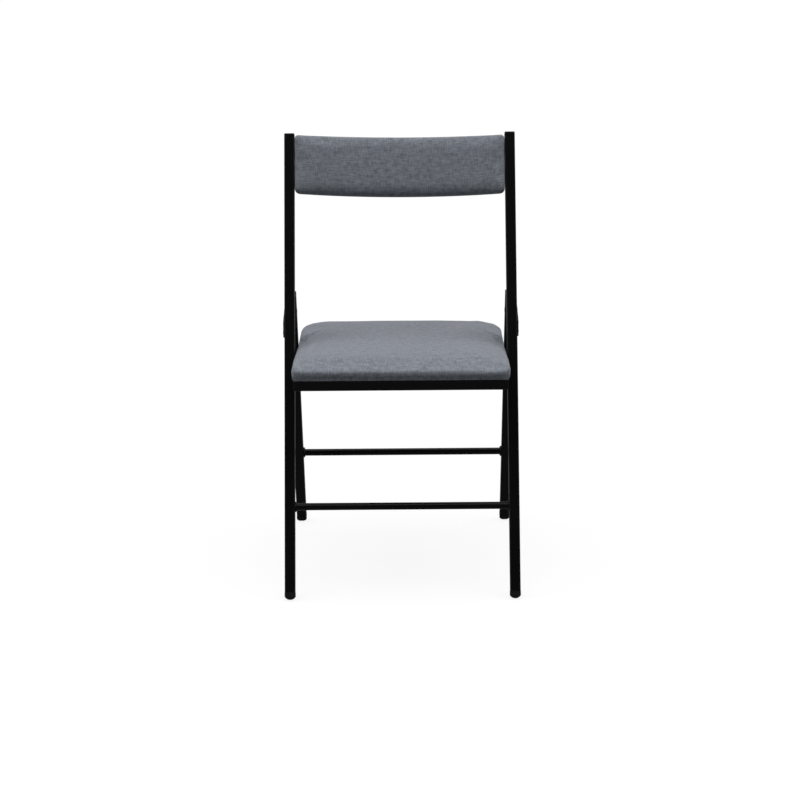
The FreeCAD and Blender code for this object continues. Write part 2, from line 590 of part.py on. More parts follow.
def make_backrest():
    """The board with its pad in front, its cover behind and the screws that hold it to the rails."""
    board_front = BACK_BOARD_REAR - BACK_BOARD_THICK
    board = bowed_layer(BACK_BOARD_INSET, board_front, BACK_BOARD_REAR)
    pocket = bowed_layer(BACK_BOARD_INSET - BOW_PLAY, board_front - BOW_PLAY, BACK_BOARD_REAR)
    pad = bowed_layer(0, BACK_PAD_FRONT, BACK_BOARD_REAR).cut(pocket)
    cover = bowed_layer(BACK_COVER_INSET, BACK_COVER_FRONT, BACK_COVER_REAR)
    from_edge = BACK_RAIL_INSET + BACK_RAIL_TALL / 2
    heights = (BACK_BOTTOM + from_edge, BACK_TOP - from_edge)
    screw_places = [(turn, z) for z in heights for turn in BACK_SCREW_TURNS]
    for turn, z in screw_places:
        hole = back_screw(turn, z, HOLE_PLAY)
        board, cover = board.cut(hole), cover.cut(hole)
    make_back_rails(screw_places)
    save("backrest_board", LONG_FRAME, [board])
    save("backrest_cushion", LONG_FRAME, [pad])
    save("backrest_back_cover", LONG_FRAME, [cover])
    save("backrest_screws", LONG_FRAME, [back_screw(turn, z) for turn, z in screw_places])


make_long_tubes()
make_hinges()
make_rear_frame()
make_seat_frame()
make_seat_pivots()
make_seat_top()
make_backrest()
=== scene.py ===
"""The folding chair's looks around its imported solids: cushions, cloth, welds, screws and finishes.

Sizes in the comments and constants are millimetres, and every mesh is in metres. The long frame's
Z runs up the long tubes, and the seat's frame starts at its pivot, as in the part's source.
"""

import json
import math

import bpy
import numpy as np
from mathutils import Matrix, Vector


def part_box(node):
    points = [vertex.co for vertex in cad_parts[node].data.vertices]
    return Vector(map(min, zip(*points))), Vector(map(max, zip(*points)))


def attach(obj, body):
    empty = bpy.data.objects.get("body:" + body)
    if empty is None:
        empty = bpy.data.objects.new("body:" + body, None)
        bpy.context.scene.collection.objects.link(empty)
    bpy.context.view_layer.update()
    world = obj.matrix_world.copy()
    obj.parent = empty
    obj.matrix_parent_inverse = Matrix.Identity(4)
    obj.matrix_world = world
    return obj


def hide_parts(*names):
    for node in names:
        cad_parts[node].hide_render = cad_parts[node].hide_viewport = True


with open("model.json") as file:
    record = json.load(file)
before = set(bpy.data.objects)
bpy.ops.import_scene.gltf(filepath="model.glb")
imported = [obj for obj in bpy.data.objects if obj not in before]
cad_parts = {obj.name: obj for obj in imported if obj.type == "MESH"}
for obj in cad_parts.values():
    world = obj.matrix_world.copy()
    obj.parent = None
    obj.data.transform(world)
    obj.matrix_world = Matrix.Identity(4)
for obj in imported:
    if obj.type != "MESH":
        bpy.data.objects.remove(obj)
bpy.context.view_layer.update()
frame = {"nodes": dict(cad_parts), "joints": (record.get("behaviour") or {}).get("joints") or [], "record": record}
nodes = frame["nodes"]
scene = bpy.context.scene

MM = 0.001

# Camera: its place in metres, how far it looks down, looks aside and tips, in degrees, its sensor
# and lens, and the last metre that it sees
CAMERA_PLACE = (0.01851, -4.26400, 1.54290)
CAMERA_DOWN, CAMERA_ASIDE, CAMERA_TIP = 15.8998, 0.2899, 0.5177
SENSOR, LENS, SEES_UP_TO = 36.0, 101.25, 200.0

# World: the light that it sheds, and how bright it is in mirrors in front of the chair, from where
# it fades to white. The fade is along the way's Y
WORLD_LIGHT = 0.09
WORLD_FRONT = 0.12
WORLD_FADE = (-0.55, 0.05)

# Lamps: the way towards each, its spread in degrees and its strength. Floor and lamps are in metres
LAMPS = {
    "overhead": ((0.0, -0.07, 1.0), 60.0, 2.02),
    "left_side": ((-1.0, -0.1, 0.7), 44.0, 0.82),
    "right_side": ((1.0, -0.1, 0.7), 44.0, 0.82),
}
LAMP_DISTANCE = 4.0
FLOOR_REACH = 40.0
FLOOR_COLOR = (0.15, 0.15, 0.15, 1)
FLOOR_GLOW = 0.865
FLOOR_GLOW_MIRRORED = 0.2

# Leans of the tubes and heights along them
LONG_LEAN = math.radians(22.3)
REAR_LEAN = math.radians(23.2)
FRONT_RUNG_ALONG = 178.0
TUBE = 20.0

# Seat pad, from the seat's pivot. Its reach is half its width at places from front to rear, and its
# rim falls are at the front and elsewhere
SEAT_HALF = 203.6
SEAT_REACH = ((-138.6, 206.2), (-60.0, 206.0), (-12.0, 203.8), (60.0, 202.4), (222.2, 202.2))
SEAT_FRONT = -138.6
SEAT_REAR = 222.2
SEAT_MIDDLE = 60.0
SEAT_BASE = 10.05
SEAT_CROWN = 46.2
SEAT_LEAN = 1.1
SEAT_CORNER = 18.0
SEAT_RIM_ROLL = 7.0
SEAT_RIM_FALLS = (2.0, 4.0)
SEAT_RIM_DEPTH = 5.0
SEAT_RIDGE_INSET = 180.0

# How the seat's top falls to its sides, front and rear. The side falls are at two places
SEAT_SIDE_PLACES = (-60.0, 120.0)
SEAT_SIDE_FALLS = (9.0, 13.0)
SEAT_FRONT_FALL = 20.0
SEAT_FRONT_ROLL = 82.0
SEAT_REAR_FALL = 3.5

# How the seat's cloth swells, and how it is tucked under the pad's lower edge
SEAT_START_LOW = 3.0
SEAT_VOXEL = 5.0
SEAT_HELD_BELOW = 20.0
SEAT_SWELL = 3.2
SEAT_SHRINK = 2.2
SEAT_TUCK = 6.5
SEAT_TUCK_TOP = 31.0
SEAT_TUCK_START = -128.0
SEAT_TUCK_LENGTH = 6.0
SEAT_SKIRT = -131.9
SEAT_SKIRT_TOP = 22.0
SEAT_SIDE_TUCK = 2.6
SEAT_SIDE_TUCK_FROM = 195.0

# Fold in the seat beside each rear leg, a valley that follows a curve round the pad's rear corner,
# and the corner's fall outside it. FOLD pairs from SINKS on are where a thing starts and is full
FOLD_CENTRE = (150.0, 65.0)
FOLD_RADII = (53.0, 62.0)
FOLD_RADIUS = 57.0
FOLD_DEPTH = 10.0
FOLD_SINKS = (-24.0, -6.0)
FOLD_RISES = (-6.0, 8.0)
FOLD_ASIDE = (145.0, 195.0)
FOLD_BACK = (40.0, 75.0)
FOLD_HEIGHTS = (16.0, 30.0)
CORNER_FALL = 4.5
CORNER_START = (203.0, 100.0)
CORNER_WAY = (0.862, 0.508)
CORNER_FALLS = (0.0, 60.0)

# Backrest pad, in the long frame
BACK_HALF = 204.7
BACK_LOW = 787.0
BACK_HIGH = 904.4
BACK_CROWN = 3.2
BACK_CROWN_LOSS = 0.5
BACK_CROWN_START = 845.0
BACK_CROWN_LENGTH = 55.0
BACK_LEAN = 1.2
BACK_REAR = 2.9
BACK_FACE = -18.1
BACK_FACE_FALL = 12.1
BACK_SAG = 36.0
BACK_CORNER = 7.0
BACK_RIM_ROLL = 8.0
BACK_RIM_DEPTH = 11.0
BACK_RIDGE_INSET = 59.0
BACK_START_LOW = 2.0
BACK_VOXEL = 4.0
BACK_HELD_BEHIND = -5.0
BACK_SWELL = 2.2

# Boards, with the room that the foam leaves them, and a reach beyond any pad
BEYOND = 300.0
BOARD_GAP = 0.35
SEAT_BOARD_CORNER = 20.0
BACK_BOARD_INSET = 6.0
BACK_BOARD_HIGH = 902.0
BACK_BOARD_FRONT = -3.0
BACK_BOARD_REAR = 3.0
BACK_BOARD_ROOM = 30.0

# Linings: the backrest's half width, inset, depth, hem and thickness, and the seat's dust cover
LINING_HALF = 201.5
LINING_INSET = 3.0
LINING_DEPTH = 3.75
LINING_HEM = 7.0
LINING_THICK = 0.6
DUST_COVER_GAP = 0.45
DUST_COVER_SLACK = 3.0
DUST_COVER_THICK = 0.4

# Places of the welds
INNER_X = 205.0
REAR_INNER_X = 203.5
RUNG_RADIUS = 7.0
RAIL_FRONT = 4.2
RAIL_REAR = 7.2
RAIL_LOWS = (BACK_LOW + 20.0, 864.0)
RAIL_HEIGHT = 18.0
SEAT_BAR_INNER = 181.5
SEAT_BAR_FRONT = -112.0
SEAT_BAR_REAR = 198.0
SEAT_BAR_UNDER = -10.0

# Screws. A head's profile and its recess are shares of its radius and height
SEAT_SCREW_X = 191.5
SEAT_SCREWS_BACK = (-88.0, 22.0, 115.0)
SEAT_SCREW_LENGTH = 27.0
BACK_SCREW_DEGREES = (-14.0, 0.0, 14.0)
BACK_SCREW_BITE = 4.5
BACK_SCREW_LENGTH = RAIL_REAR - BACK_BOARD_REAR + BACK_SCREW_BITE
SCREW_HEAD = ((0.25, 1.0), (0.55, 0.94), (0.8, 0.72), (0.95, 0.38), (1.0, 0.0))
RECESS_REACH, RECESS_WIDTH = 0.5, 0.13
RECESS_FLOOR, RECESS_FLOOR_SHARE, RECESS_MOUTH_SHARE = 0.35, 0.6, 1.1

# Staples along the borders of the linings
STAPLE_INSET = 5.0
STAPLE_SKEW = 0.2
SEAT_STAPLE_STEP = 36.0
SEAT_STAPLE_DEPTH = 0.95
BACK_STAPLE_STEP = 34.0
BACK_STAPLE_DEPTH = 4.1
BACK_STAPLE_BORDER = ((-202.7, BACK_LOW + 2.0), (202.7, 900.0))

LONG_TURN = Matrix.Rotation(-LONG_LEAN, 4, "X")
LONG_RISE = LONG_TURN @ Vector((0, 0, FRONT_RUNG_ALONG * MM))
LONG_PLACE = Matrix.Translation(sum(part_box("front_rung"), Vector()) / 2 - LONG_RISE) @ LONG_TURN
SEAT_PIVOT = {joint["name"]: Vector(joint["pos_m"]) for joint in frame["joints"]}["seat_fold"]
SEAT_PLACE = Matrix.Translation(SEAT_PIVOT)
BACK_RADIUS = (INNER_X**2 + BACK_SAG**2) / (2 * BACK_SAG)


def add_object(name, data):
    """An object in the scene, at the origin."""
    made = bpy.data.objects.new(name, data)
    scene.collection.objects.link(made)
    return made


def add_mesh(name, points, edges, faces):
    """An object with a mesh through points in mm."""
    mesh = bpy.data.meshes.new(name)
    mesh.from_pydata((np.asarray(points) * MM).tolist(), edges, faces)
    return add_object(name, mesh)


def seat_box(node):
    """A node's lowest and highest corner, in mm from the seat's pivot."""
    return [(corner - SEAT_PIVOT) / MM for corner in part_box(node)]


# ---------------------------------------------------------------- camera, light and floor

def place_camera():
    """Stands the camera four metres in front, above the backrest, looking down a little."""
    pitch, yaw, roll = (math.radians(turn) for turn in (CAMERA_DOWN, CAMERA_ASIDE, CAMERA_TIP))
    right = Vector((math.cos(yaw), math.sin(yaw), 0))
    level = Vector((-math.sin(yaw), math.cos(yaw), 0))
    ahead = math.cos(pitch) * level - math.sin(pitch) * Vector((0, 0, 1))
    up = math.sin(pitch) * level + math.cos(pitch) * Vector((0, 0, 1))
    data = bpy.data.cameras.new("camera")
    data.sensor_width, data.lens, data.clip_end = SENSOR, LENS, SEES_UP_TO
    camera = add_object("camera", data)
    across = math.cos(roll) * right - math.sin(roll) * up
    upward = math.sin(roll) * right + math.cos(roll) * up
    turn = Matrix((across, upward, -ahead)).transposed().to_4x4()
    camera.matrix_world = Matrix.Translation(CAMERA_PLACE) @ turn
    scene.camera = camera


class Graph:
    """A node tree with short calls to add nodes and join them."""

    def __init__(self, tree):
        self.tree = tree

    def add(self, kind, inputs=None, **settings):
        """A new node. Its inputs are values or sockets to join, by name or number."""
        node = self.tree.nodes.new(kind)
        for name, value in settings.items():
            setattr(node, name, value)
        for socket, value in (inputs or {}).items():
            self.put(node.inputs[socket], value)
        return node

    def put(self, socket, value):
        if isinstance(value, bpy.types.NodeSocket):
            self.tree.links.new(value, socket)
        else:
            socket.default_value = value

    def math(self, operation, *values, clamp=False):
        node = self.add("ShaderNodeMath", operation=operation, use_clamp=clamp)
        for socket, value in zip(node.inputs, values):
            self.put(socket, value)
        return node.outputs[0]

    def in_mm(self, vector):
        """A place in metres as one in millimetres."""
        inputs = {0: vector, "Scale": 1 / MM}
        return self.add("ShaderNodeVectorMath", inputs, operation="SCALE").outputs[0]

    def parts(self, vector):
        """A vector's X, Y and Z."""
        return self.add("ShaderNodeSeparateXYZ", {0: vector}).outputs

    def noise(self, vector, scale, detail=2.0, rough=0.5):
        inputs = {"Vector": vector, "Scale": scale, "Detail": detail, "Roughness": rough}
        return self.add("ShaderNodeTexNoise", inputs).outputs["Fac"]

    def ramp(self, value, low, high, to_low=0.0, to_high=1.0):
        """From to_low at low to to_high at high, and level beyond them."""
        inputs = {0: value, 1: low, 2: high, 3: to_low, 4: to_high}
        return self.add("ShaderNodeMapRange", inputs, clamp=True).outputs[0]

    def mix(self, factor, a, b, blend="MIX"):
        """Mix of two colours, each a socket or its red, green and blue."""
        inputs = {"Factor": factor, 6: a, 7: b}
        for socket in (6, 7):
            if not isinstance(inputs[socket], bpy.types.NodeSocket):
                inputs[socket] = (*inputs[socket], 1)
        return self.add("ShaderNodeMix", inputs, data_type="RGBA", blend_type=blend).outputs[2]

    def between(self, factor, a, b):
        """Mix of two numbers."""
        return self.add("ShaderNodeMix", {0: factor, 2: a, 3: b}).outputs[0]


def set_world():
    """White where it is seen, darker at the front in mirrors, and dim for the light it sheds."""
    world = bpy.data.worlds.new("studio")
    scene.world = world
    world.use_nodes = True
    world.node_tree.nodes.clear()
    graph = Graph(world.node_tree)
    rays = graph.add("ShaderNodeLightPath").outputs
    seen = graph.math("MAXIMUM", rays["Is Camera Ray"], rays["Is Glossy Ray"])
    seen = graph.math("MAXIMUM", seen, rays["Is Transmission Ray"])
    way = graph.parts(graph.add("ShaderNodeTexCoord").outputs["Generated"])
    behind = graph.ramp(way["Y"], *WORLD_FADE, WORLD_FRONT, 1.0)
    straight = graph.math("MAXIMUM", rays["Is Camera Ray"], rays["Is Transmission Ray"])
    strength = graph.between(seen, WORLD_LIGHT, graph.math("MAXIMUM", behind, straight))
    shade = graph.add("ShaderNodeBackground", {"Color": (1, 1, 1, 1), "Strength": strength})
    graph.add("ShaderNodeOutputWorld", {"Surface": shade.outputs[0]})


def hang_lamps():
    """Wide soft lamps, far off, so that they light all of the floor alike."""
    for name, (towards, spread, strength) in LAMPS.items():
        data = bpy.data.lights.new(name, "SUN")
        data.angle, data.energy = math.radians(spread), strength
        lamp = add_object(name, data)
        way = Vector(towards).normalized()
        turn = (-way).to_track_quat("-Z", "Y").to_matrix().to_4x4()
        lamp.matrix_world = Matrix.Translation(way * LAMP_DISTANCE) @ turn


def lay_floor():
    """Pale floor. What it adds for the eye keeps it white, and the chair's shadow stays on it."""
    reach = FLOOR_REACH / MM
    corners = [(-reach, -reach, 0), (reach, -reach, 0), (reach, reach, 0), (-reach, reach, 0)]
    floor = add_mesh("floor", corners, [], [(0, 1, 2, 3)])
    material = bpy.data.materials.new("floor")
    material.use_nodes = True
    material.node_tree.nodes.clear()
    graph = Graph(material.node_tree)
    rays = graph.add("ShaderNodeLightPath").outputs
    seen = graph.math("MAXIMUM", rays["Is Camera Ray"], rays["Is Transmission Ray"])
    mirrored = graph.math("MULTIPLY", rays["Is Glossy Ray"], FLOOR_GLOW_MIRRORED)
    glow = graph.math("MULTIPLY_ADD", seen, FLOOR_GLOW, mirrored)
    matt = graph.add("ShaderNodeBsdfDiffuse", {"Color": FLOOR_COLOR})
    glow = graph.add("ShaderNodeEmission", {"Color": (1, 1, 1, 1), "Strength": glow})
    both = graph.add("ShaderNodeAddShader", {0: matt.outputs[0], 1: glow.outputs[0]})
    graph.add("ShaderNodeOutputMaterial", {"Surface": both.outputs[0]})
    floor.data.materials.append(material)


# ---------------------------------------------------------------- effects that finishes share

def new_group(name, inputs, outputs):
    """An empty shader node group. Inputs are {name: default}, or None for a vector."""
    tree = bpy.data.node_groups.new(name, "ShaderNodeTree")
    for socket, default in inputs.items():
        kind = "NodeSocketVector" if default is None else "NodeSocketFloat"
        made = tree.interface.new_socket(socket, in_out="INPUT", socket_type=kind)
        if default is not None:
            made.default_value = default
    for socket in outputs:
        tree.interface.new_socket(socket, in_out="OUTPUT", socket_type="NodeSocketFloat")
    graph = Graph(tree)
    return graph, graph.add("NodeGroupInput").outputs, graph.add("NodeGroupOutput").inputs


def make_weave():
    """Plain weave of slubbed yarns: how light each place is, with painted shade where the yarns dip, how high, and
    which yarn is on top.
    """
    inputs = {
        "Vector": None, "Yarn": 0.9, "Slub Length": 13.0, "Slub Width": 1.9, "Slubs": 0.2,
        "Clouds": 0.6, "Cloud Size": 10.0,
    }
    outputs = ("Shade", "Height", "Warp On Top")
    graph, given, result = new_group("plain_weave", inputs, outputs)
    place = graph.in_mm(given["Vector"])
    across = graph.parts(place)
    profiles, cells = [], []
    for axis in ("X", "Y"):
        turns = graph.math("DIVIDE", across[axis], given["Yarn"])
        cell = graph.math("FLOOR", turns)
        centred = graph.math("MULTIPLY_ADD", graph.math("SUBTRACT", turns, cell), 2.0, -1.0)
        cells.append(cell)
        profiles.append(graph.math("SUBTRACT", 1.0, graph.math("MULTIPLY", centred, centred)))
    over = graph.math("FLOORED_MODULO", graph.math("ADD", cells[0], cells[1]), 2.0)
    warp = graph.math("MULTIPLY", profiles[0], graph.math("MULTIPLY_ADD", profiles[1], 0.5, 0.5))
    weft = graph.math("MULTIPLY", profiles[1], graph.math("MULTIPLY_ADD", profiles[0], 0.5, 0.5))
    height = graph.between(over, weft, warp)
    slubs = []
    for along, offset in ((1, 3.1), (0, 17.7)):
        long_way = graph.math("DIVIDE", across["XY"[along]], given["Slub Length"])
        thin_way = graph.math("DIVIDE", across["XY"[1 - along]], given["Slub Width"])
        spot = graph.add("ShaderNodeCombineXYZ", {0: thin_way, 1: long_way, 2: offset}).outputs[0]
        slubs.append(graph.ramp(graph.noise(spot, 1.0, 1.0), 0.3, 0.7, -1.0, 1.0))
    total = graph.math("ADD", slubs[0], slubs[1])
    clouds = graph.noise(place, graph.math("DIVIDE", 1.0, given["Cloud Size"]), 2.0)
    cloud = graph.math("SUBTRACT", clouds, 0.5)
    shade = graph.math("MULTIPLY_ADD", total, given["Slubs"], 1.0)
    shade = graph.math("ADD", shade, graph.math("MULTIPLY", cloud, given["Clouds"]))
    # Darker where the yarns dip between each other: painted shade.
    gap_shade = graph.ramp(height, 0.0, 0.45, 0.86, 1.03)
    graph.put(result["Shade"], graph.math("MULTIPLY", shade, gap_shade))
    graph.put(result["Height"], height)
    graph.put(result["Warp On Top"], over)
    return graph.tree


def make_coat_skin():
    """Skin of a sprayed or moulded surface: its fine waves and its patches of duller gloss."""
    inputs = {"Vector": None, "Wave": 1.6, "Patch": 60.0, "Gloss": 0.3, "Gloss Change": 0.08}
    graph, given, result = new_group("coat_skin", inputs, ("Height", "Roughness"))
    place = graph.in_mm(given["Vector"])
    waves = graph.noise(place, graph.math("DIVIDE", 1.0, given["Wave"]), 2.0)
    patches = graph.noise(place, graph.math("DIVIDE", 1.0, given["Patch"]), 4.0)
    change = graph.math("MULTIPLY", graph.math("SUBTRACT", patches, 0.5), given["Gloss Change"])
    graph.put(result["Height"], waves)
    graph.put(result["Roughness"], graph.math("MULTIPLY_ADD", change, 2.0, given["Gloss"]))
    return graph.tree


def make_corner_rub_and_highlight():
    """Lighter corners of a square tube whose middle line is the Z axis: rubbed wear and a painted highlight.

    Going round a corner, the two distances from the middle add up to the side less the corner loss.
    """
    inputs = {"Vector": None, "Side": TUBE, "Corner": 2.5, "Rub": 0.9}
    graph, given, result = new_group("corner_rub", inputs, ("Mask",))
    place = graph.in_mm(given["Vector"])
    across = graph.parts(place)
    reach = graph.math("ADD", *(graph.math("ABSOLUTE", across[axis]) for axis in "XY"))
    corner_loss = -0.586
    full = graph.math("MULTIPLY_ADD", given["Corner"], corner_loss, given["Side"])
    depth = graph.math("SUBTRACT", full, reach)
    near = graph.math("SUBTRACT", 1.0, graph.math("DIVIDE", depth, given["Rub"]), clamp=True)
    broken = graph.ramp(graph.noise(place, 0.09, 5.0, 0.7), 0.42, 0.62)
    graph.put(result["Mask"], graph.math("MULTIPLY", near, broken))
    return graph.tree


def make_plies():
    """Bands of plywood along Z and grain that runs along X."""
    inputs = {"Vector": None, "Ply": 1.5}
    graph, given, result = new_group("plies", inputs, ("Band", "Grain"))
    place = graph.in_mm(given["Vector"])
    layer = graph.math("FLOOR", graph.math("DIVIDE", graph.parts(place)["Z"], given["Ply"]))
    band = graph.math("FLOORED_MODULO", layer, 2.0)
    stretched = graph.add("ShaderNodeMapping", {0: place, "Scale": (0.02, 0.35, 0.35)}).outputs[0]
    graph.put(result["Band"], band)
    graph.put(result["Grain"], graph.noise(stretched, 1.0, 5.0, 0.65))
    return graph.tree


GROUPS = {
    "weave": make_weave(),
    "skin": make_coat_skin(),
    "rub_and_highlight": make_corner_rub_and_highlight(),
    "plies": make_plies(),
}


# ---------------------------------------------------------------- finishes

def shaded(name, color, roughness, **uniform):
    """A material with a Principled shader. Uniform values go straight onto its sockets."""
    material = bpy.data.materials.new(name)
    material.use_nodes = True
    material.node_tree.nodes.clear()
    graph = Graph(material.node_tree)
    bsdf = graph.add("ShaderNodeBsdfPrincipled")
    bsdf.inputs["Base Color"].default_value = (*color, 1)
    bsdf.inputs["Roughness"].default_value = roughness
    for socket, value in uniform.items():
        bsdf.inputs[socket.replace("_", " ")].default_value = value
    graph.add("ShaderNodeOutputMaterial", {"Surface": bsdf.outputs[0]})
    return material, graph, bsdf.inputs


def use_group(graph, effect, **inputs):
    """Puts an effect's group in a material. Words in its socket names are joined by underscores."""
    node = graph.add("ShaderNodeGroup", node_tree=GROUPS[effect])
    for socket, value in inputs.items():
        graph.put(node.inputs[socket.replace("_", " ")], value)
    return node.outputs


def raise_surface(graph, bsdf, height, depth, strength):
    """Bumps of a depth in mm."""
    inputs = {"Height": height, "Distance": depth * MM, "Strength": strength}
    graph.put(bsdf["Normal"], graph.add("ShaderNodeBump", inputs).outputs[0])


def object_place(graph):
    return graph.add("ShaderNodeTexCoord").outputs["Object"]


def turned_place(graph, middle, turn):
    """Object coordinates from a piece's middle, along its own directions."""
    inputs = {0: object_place(graph), "Location": middle, "Rotation": turn}
    return graph.add("ShaderNodeMapping", inputs, vector_type="TEXTURE").outputs[0]


def grey_weave(name, warp, weft, slubs):
    """Melange upholstery cloth. It follows the cloth's own lengthwise and crosswise lines."""
    sheen = {"Sheen_Weight": 0.6, "Sheen_Roughness": 0.4, "Sheen_Tint": (0.93, 0.92, 1.0, 1)}
    material, graph, bsdf = shaded(name, warp, 0.9, **sheen)
    lines = graph.add("ShaderNodeAttribute", attribute_name="cloth_lines").outputs["Vector"]
    weave = use_group(graph, "weave", Vector=lines, Slubs=slubs)
    yarn = graph.mix(weave["Warp On Top"], weft, warp)
    # The weave's shade holds its slub tone and painted shade where the yarns dip.
    shade = graph.add("ShaderNodeCombineColor", {i: weave["Shade"] for i in range(3)}).outputs[0]
    graph.put(bsdf["Base Color"], graph.mix(1.0, yarn, shade, "MULTIPLY"))
    graph.put(bsdf["Roughness"], graph.ramp(weave["Height"], 0.0, 1.0, 1.0, 0.82))
    raise_surface(graph, bsdf, weave["Height"], 0.18, 0.6)
    return material


def black_lining(name):
    """Thin black cloth of the backrest's rear and of the seat's underside."""
    material, graph, bsdf = shaded(name, (0.03, 0.03, 0.031), 0.85, Sheen_Weight=0.2)
    weave = use_group(graph, "weave", Vector=object_place(graph), Yarn=0.6, Slubs=0.25)
    dark, light = (0.02, 0.02, 0.021), (0.042, 0.042, 0.044)
    # The weave's shade holds painted shade where the yarns dip.
    graph.put(bsdf["Base Color"], graph.mix(weave["Shade"], dark, light))
    raise_surface(graph, bsdf, weave["Height"], 0.12, 0.5)
    return material


def black_coat(name, middle=None, turn=(0, 0, 0)):
    """Gloss black powder coat. With a middle it knows its tube, whose corners are lighter with wear and a painted
    highlight.
    """
    gloss = 0.34
    material, graph, bsdf = shaded(name, (0.003, 0.003, 0.0031), gloss, Specular_IOR_Level=0.12)
    skin = use_group(graph, "skin", Vector=object_place(graph), Gloss=gloss)
    graph.put(bsdf["Roughness"], skin["Roughness"])
    if middle:
        # Corners lighter: partly rubbed wear, partly a painted edge highlight.
        tone = use_group(graph, "rub_and_highlight", Vector=turned_place(graph, middle, turn))["Mask"]
        dark, light = (0.0028, 0.0028, 0.0029), (0.012, 0.012, 0.0125)
    else:
        tone = graph.ramp(skin["Height"], 0.3, 0.7)
        dark, light = (0.0024, 0.0024, 0.0025), (0.0034, 0.0034, 0.0035)
    graph.put(bsdf["Base Color"], graph.mix(tone, dark, light))
    raise_surface(graph, bsdf, skin["Height"], 0.02, 0.35)
    return material


def moulded(name, dark, light, gloss, wave, **uniform):
    """Moulded plastic with a fine spark texture."""
    material, graph, bsdf = shaded(name, dark, gloss, **uniform)
    place = object_place(graph)
    skin = use_group(graph, "skin", Vector=place, Wave=wave, Patch=25.0, Gloss=gloss)
    graph.put(bsdf["Roughness"], skin["Roughness"])
    graph.put(bsdf["Base Color"], graph.mix(skin["Height"], dark, light))
    raise_surface(graph, bsdf, skin["Height"], 0.03, 0.4)
    return material


def metal(name, dark, light, gloss, change):
    """Plated or blackened steel with a cloudy gloss."""
    material, graph, bsdf = shaded(name, dark, gloss, Metallic=1.0)
    waves = {"Wave": 0.8, "Patch": 6.0, "Gloss": gloss, "Gloss_Change": change}
    skin = use_group(graph, "skin", Vector=object_place(graph), **waves)
    graph.put(bsdf["Roughness"], skin["Roughness"])
    graph.put(bsdf["Base Color"], graph.mix(skin["Roughness"], dark, light))
    raise_surface(graph, bsdf, skin["Height"], 0.01, 0.3)
    return material


def plywood(name, middle, turn):
    """Raw plywood, its plies stacked along the board's own Z."""
    material, graph, bsdf = shaded(name, (0.5, 0.34, 0.19), 0.7)
    plies = use_group(graph, "plies", Vector=turned_place(graph, middle, turn))
    wood = graph.mix(plies["Grain"], (0.52, 0.37, 0.21), (0.66, 0.5, 0.31))
    darker = graph.math("MULTIPLY", plies["Band"], 0.4)
    graph.put(bsdf["Base Color"], graph.mix(darker, wood, (0.36, 0.22, 0.12)))
    graph.put(bsdf["Roughness"], graph.ramp(plies["Grain"], 0.3, 0.7, 0.62, 0.8))
    raise_surface(graph, bsdf, plies["Grain"], 0.05, 0.5)
    return material


def middle_of(node):
    """A node's middle in the chair's frame."""
    return tuple(sum(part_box(node), Vector()) / 2)


TUBE_TURNS = {
    "left_long_tube": (-LONG_LEAN, 0, 0),
    "right_long_tube": (-LONG_LEAN, 0, 0),
    "left_rear_leg": (REAR_LEAN, 0, 0),
    "right_rear_leg": (REAR_LEAN, 0, 0),
    "seat_left_bar": (math.pi / 2, 0, 0),
    "seat_right_bar": (math.pi / 2, 0, 0),
    "seat_front_bar": (0, math.pi / 2, 0),
    "seat_rear_bar": (0, math.pi / 2, 0),
}
SLOT_FINISHES = {
    "black_paint": "coat",
    "black_steel": "blackened",
    "plain_steel": "zinc",
    "black_plastic": "plastic",
    "nylon": "nylon",
    "grey_fabric": "grey",
    "black_cloth": "lining",
    "plywood": "seat_ply",
}


def make_finishes():
    """The chair's finishes, by name."""
    grey_warp, grey_weft = (0.192, 0.212, 0.25), (0.204, 0.222, 0.25)
    plastic = ((0.0035, 0.0035, 0.0037), (0.006, 0.006, 0.0064), 0.5, 0.7)
    nylon = ((0.6, 0.57, 0.5), (0.7, 0.68, 0.62), 0.45, 1.5)
    blackened = ((0.015, 0.015, 0.016), (0.04, 0.04, 0.042), 0.42, 0.2)
    zinc = ((0.5, 0.5, 0.52), (0.68, 0.68, 0.69), 0.34, 0.25)
    back_turn = (math.pi / 2 - LONG_LEAN, 0, 0)
    return {
        "coat": black_coat("black_coat"),
        "grey": grey_weave("grey_melange", grey_warp, grey_weft, 0.2),
        "lining": black_lining("black_lining"),
        "plastic": moulded("black_plastic", *plastic, Specular_IOR_Level=0.2),
        "nylon": moulded("natural_nylon", *nylon, Subsurface_Weight=0.1),
        "blackened": metal("blackened_steel", *blackened),
        "zinc": metal("zinc_steel", *zinc),
        "seat_ply": plywood("seat_plywood", middle_of("seat_board"), (0, 0, 0)),
        "back_ply": plywood("back_plywood", middle_of("backrest_board"), back_turn),
    }


def dress_nodes(finishes):
    """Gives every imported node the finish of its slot, and each square tube a coat of its own."""
    slots = {row["node"]: row["material_slot"] for row in frame["record"]["subparts"]}
    for name, node in nodes.items():
        if name in TUBE_TURNS:
            finish = black_coat("coat_" + name, middle_of(name), TUBE_TURNS[name])
        elif name == "backrest_board":
            finish = finishes["back_ply"]
        else:
            finish = finishes[SLOT_FINISHES[slots[name]]]
        node.data.materials.clear()
        node.data.materials.append(finish)


# ---------------------------------------------------------------- padded pieces

